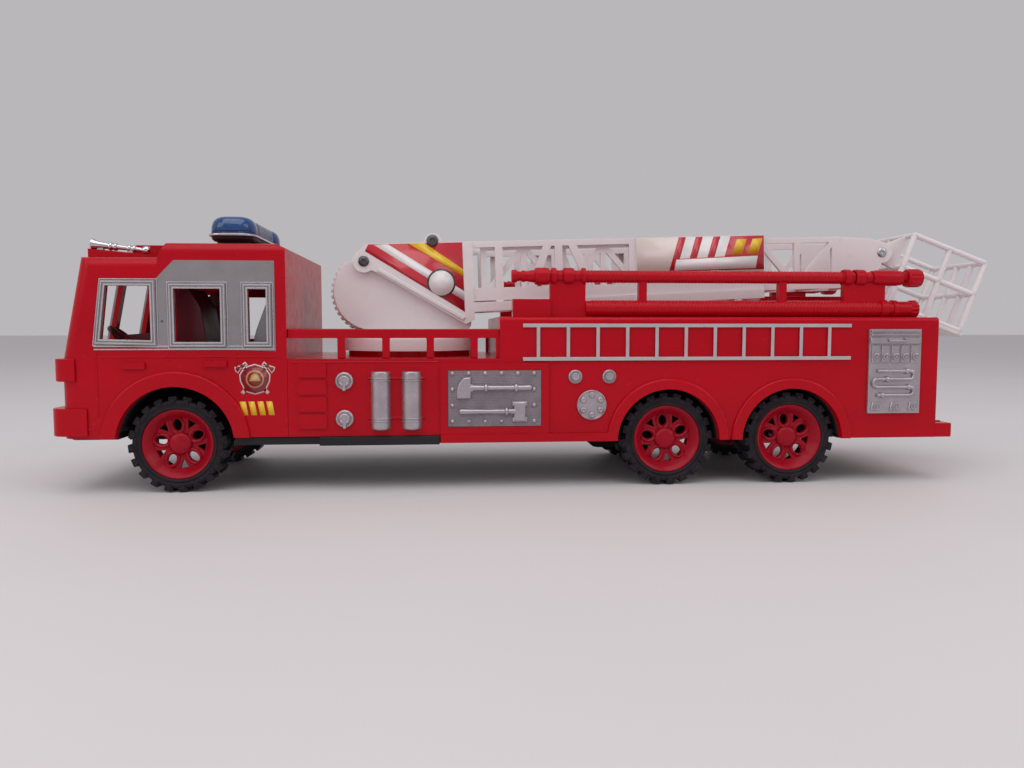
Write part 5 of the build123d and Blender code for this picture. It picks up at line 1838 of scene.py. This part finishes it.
@dataclass
class RearFace:
    """The rear door's handle, the lamps' frames and the step's tread."""

    def build(self) -> None:
        """Build the rear's fittings."""
        place = Place((FRONT, 0, 0), (0, -1, 0), (0, 0, 1), (-1, 0, 0))
        door = Span.of("rear_shutter")
        handle = Form("rear_door_handle", place).paint(SILVER)
        height = door.low + 3.2
        handle.rod((-7, height, door.rear + 1.4), (7, height, door.rear + 1.4), 0.7)
        for across in (-5.5, 5.5):
            handle.rod((across, height, door.rear - 0.2), (across, height, door.rear + 1.4), 0.6)
        handle.border(rounded((-26.2, 26.2), (door.low - 1.2, door.high + 1.2), 1.2),
                      rounded((-24.6, 24.6), (door.low + 0.4, door.high - 0.4), 0.8),
                      door.front - 0.1, door.rear + 0.35)
        handle.build(Slot.DETAIL_SILVER, "rear_shutter", 0.15)
        lamps = Form("tail_lamp_frames", place).paint(SILVER)
        tail = Span.of("tail_lamps")
        for sign in (1, -1):
            across = sorted((sign * (tail.left - 5.0), sign * tail.left))
            lamps.border(rounded((across[0] - 0.6, across[1] + 0.6), (tail.low - 0.6, tail.high + 0.6), 0.9),
                         rounded((across[0] + 0.25, across[1] - 0.25),
                                 (tail.low + 0.25, tail.high - 0.25), 0.6),
                         tail.front - 0.1, tail.rear + 0.2)
            lamps.slab((across[0], across[1]), (tail.low + 4.2, tail.low + 4.8),
                       (tail.front, tail.rear + 0.25))
        lamps.build(Slot.DETAIL_SILVER, "tail_lamps", 0.12)
        step = Span.of("rear_bumper")
        tread = Form("rear_step_tread", Place.top()).paint(RED)
        for across in spaced(-34, 34, 18):
            tread.slab((step.front + 1.0, step.rear - 0.8), (across - 0.5, across + 0.5),
                       (step.high - 0.1, step.high + 0.4), draw=0.15)
        tread.build(Slot.BODY_RED, "rear_bumper", 0.08)


@dataclass
class Underside:
    """The screws in their posts, the ribs under the chassis and the motor's lid."""

    plate: float = 16.6
    post: Outline = ((0, 3.4), (1.4, 3.0), (1.4, 2.3), (0.4, 2.2), (0.4, POINT))
    screw_places: Outline = ((27.0, 0.0), (70.0, 24.0), (70.0, -24.0), (146.0, 24.0), (146.0, -24.0),
                             (300.0, 0.0))
    ribs: Outline = ((66.0, 138.0), (146.0, 184.0), (224.0, 250.0), (272.0, 306.0))

    def build(self) -> None:
        """Build what shows from below."""
        place = Place((FRONT, 0, 0), (-1, 0, 0), (0, 1, 0), (0, 0, -1))
        posts = Form("chassis_posts", place).paint(BLACK)
        heads = Form("chassis_screws", place).paint(SCREW)
        for station, across in self.screw_places:
            posts.drum(station, across, -self.plate - SUNK, self.post, 28)
            screw(heads, station, across, -self.plate + 0.25, 1.9, 0.6)
        for across in (-12.0, 12.0):
            for run in self.ribs:
                posts.slab(run, (across - 0.6, across + 0.6), (-self.plate - SUNK, -self.plate + 0.9),
                           draw=0.2)
        motor = Span.of("motor_housing")
        lid = -motor.low
        posts.border(rounded((motor.front + 4, motor.rear - 4), (-9, 9), 1.5),
                     rounded((motor.front + 4.8, motor.rear - 4.8), (-8.2, 8.2), 1.0), lid - 0.1, lid + 0.4)
        for station in (motor.front + 7, motor.rear - 7):
            screw(heads, station, 0.0, lid - 0.05, 1.5, 0.6)
        posts.build(Slot.CHASSIS_BLACK, "chassis_plate", 0.15)
        heads.build(Slot.PIN_STEEL, "chassis_plate", 0.04)


@dataclass
class PlainNodes:
    """The solids whose shape is right as it is: they get their finish and softened edges."""

    edge: float = 0.3
    fine_edge: float = 0.12
    fine: tuple[str, ...] = ("side_ladder_left", "side_ladder_right", "windscreen_frame", "rear_shutter")

    def build(self) -> None:
        """Dress each solid that shows."""
        for finish, slot, names in NODE_GROUPS:
            for name in names.split():
                node = frame["nodes"][name]
                node.data.materials.clear()
                node.data.materials.append(finish.material())
                soften(node, self.fine_edge if name in self.fine else self.edge)
                log.info("dressed %s", name)


@dataclass
class Studio:
    """The floor, the light and the camera."""

    floor_half: float = 6.0
    camera_place: Solid = (0.0407, 0.3211, 0.0575)
    yaw: float = 4.7
    pitch: float = 4.04
    lens: float = 27.88
    sensor: float = 36.0
    lamps: tuple[tuple[str, Solid, Solid, float, float], ...] = (
        ("lamp_over", (0.1, 0.35, 0.9), (0, 0, 0.03), 0.9, 3.8),
        ("lamp_front", (0.8, 0.6, 0.5), (0, 0, 0.04), 0.6, 1.5),
        ("lamp_rear", (-0.8, 0.5, 0.6), (-0.05, 0, 0.04), 0.6, 1.5))
    surround: Colour = (0.66, 0.64, 0.66)
    surround_strength: float = 0.74

    def build(self) -> None:
        """Build the floor, the lamps, the world and the camera."""
        self.build_floor()
        for lamp in self.lamps:
            self.build_lamp(*lamp)
        self.build_world()
        self.build_camera()

    def build_floor(self) -> None:
        """Build one wide board."""
        mesh = bpy.data.meshes.new("studio_floor")
        edge = self.floor_half
        mesh.from_pydata([(-edge, -edge, 0), (edge, -edge, 0), (edge, edge, 0), (-edge, edge, 0)], [],
                         [(0, 1, 2, 3)])
        floor = add_object("studio_floor", mesh)
        floor.data.materials.append(BOARD.material())

    def build_lamp(self, name: str, place: Solid, target: Solid, size: float, power: float) -> None:
        """Build one soft square lamp.

        Args:
            name: The lamp's name.
            place: Where it hangs.
            target: The point that it faces.
            size: Its width.
            power: Its strength in watts.
        """
        light = bpy.data.lights.new(name, "AREA")
        light.size = size
        light.energy = power
        lamp = add_object(name, light)
        lamp.location = place
        aim(lamp, Vector(target) - Vector(place))

    def build_world(self) -> None:
        """Build an even pale surround."""
        world = bpy.data.worlds.new("studio_world")
        bpy.context.scene.world = world
        world.use_nodes = True
        back = world.node_tree.nodes["Background"]
        back.inputs["Color"].default_value = (*self.surround, 1)
        back.inputs["Strength"].default_value = self.surround_strength

    def build_camera(self) -> None:
        """Build the camera at the photograph's angle."""
        data = bpy.data.cameras.new("camera")
        data.lens = self.lens
        data.sensor_width = self.sensor
        data.clip_start = 0.01
        data.clip_end = 50
        camera = add_object("camera", data)
        yaw = radians(self.yaw)
        pitch = radians(self.pitch)
        forward = Vector((-sin(yaw) * cos(pitch), -cos(yaw) * cos(pitch), -sin(pitch)))
        camera.location = self.camera_place
        aim(camera, forward)
        bpy.context.scene.camera = camera
        bpy.context.scene.view_settings.view_transform = "Standard"


def main() -> None:
    """Build every sub-assembly in order."""
    logging.basicConfig(level=logging.INFO, format="%(message)s")
    PlainNodes().build()
    for side in Side:
        left = side is Side.LEFT
        WindowSide(side).build()
        DoorBadge(side).build()
        ToolPanel(side).build()
        SideGear(side).build(("outlet_caps", "air_bottles") if left else ())
        Locker(side).build(("locker_panels",) if left else ())
        HoseSide(side).build()
        LadderSide(side).build()
        for axle, arch in ARCHES.items():
            Wheel(axle, side).build()
            WheelHousing(axle, side, *arch).build()
    Pins().build()
    Basket().build()
    RoofGear().build()
    FrontFace().build()
    RearFace().build()
    Underside().build()
    Studio().build()


if __name__ == "__main__":
    main()
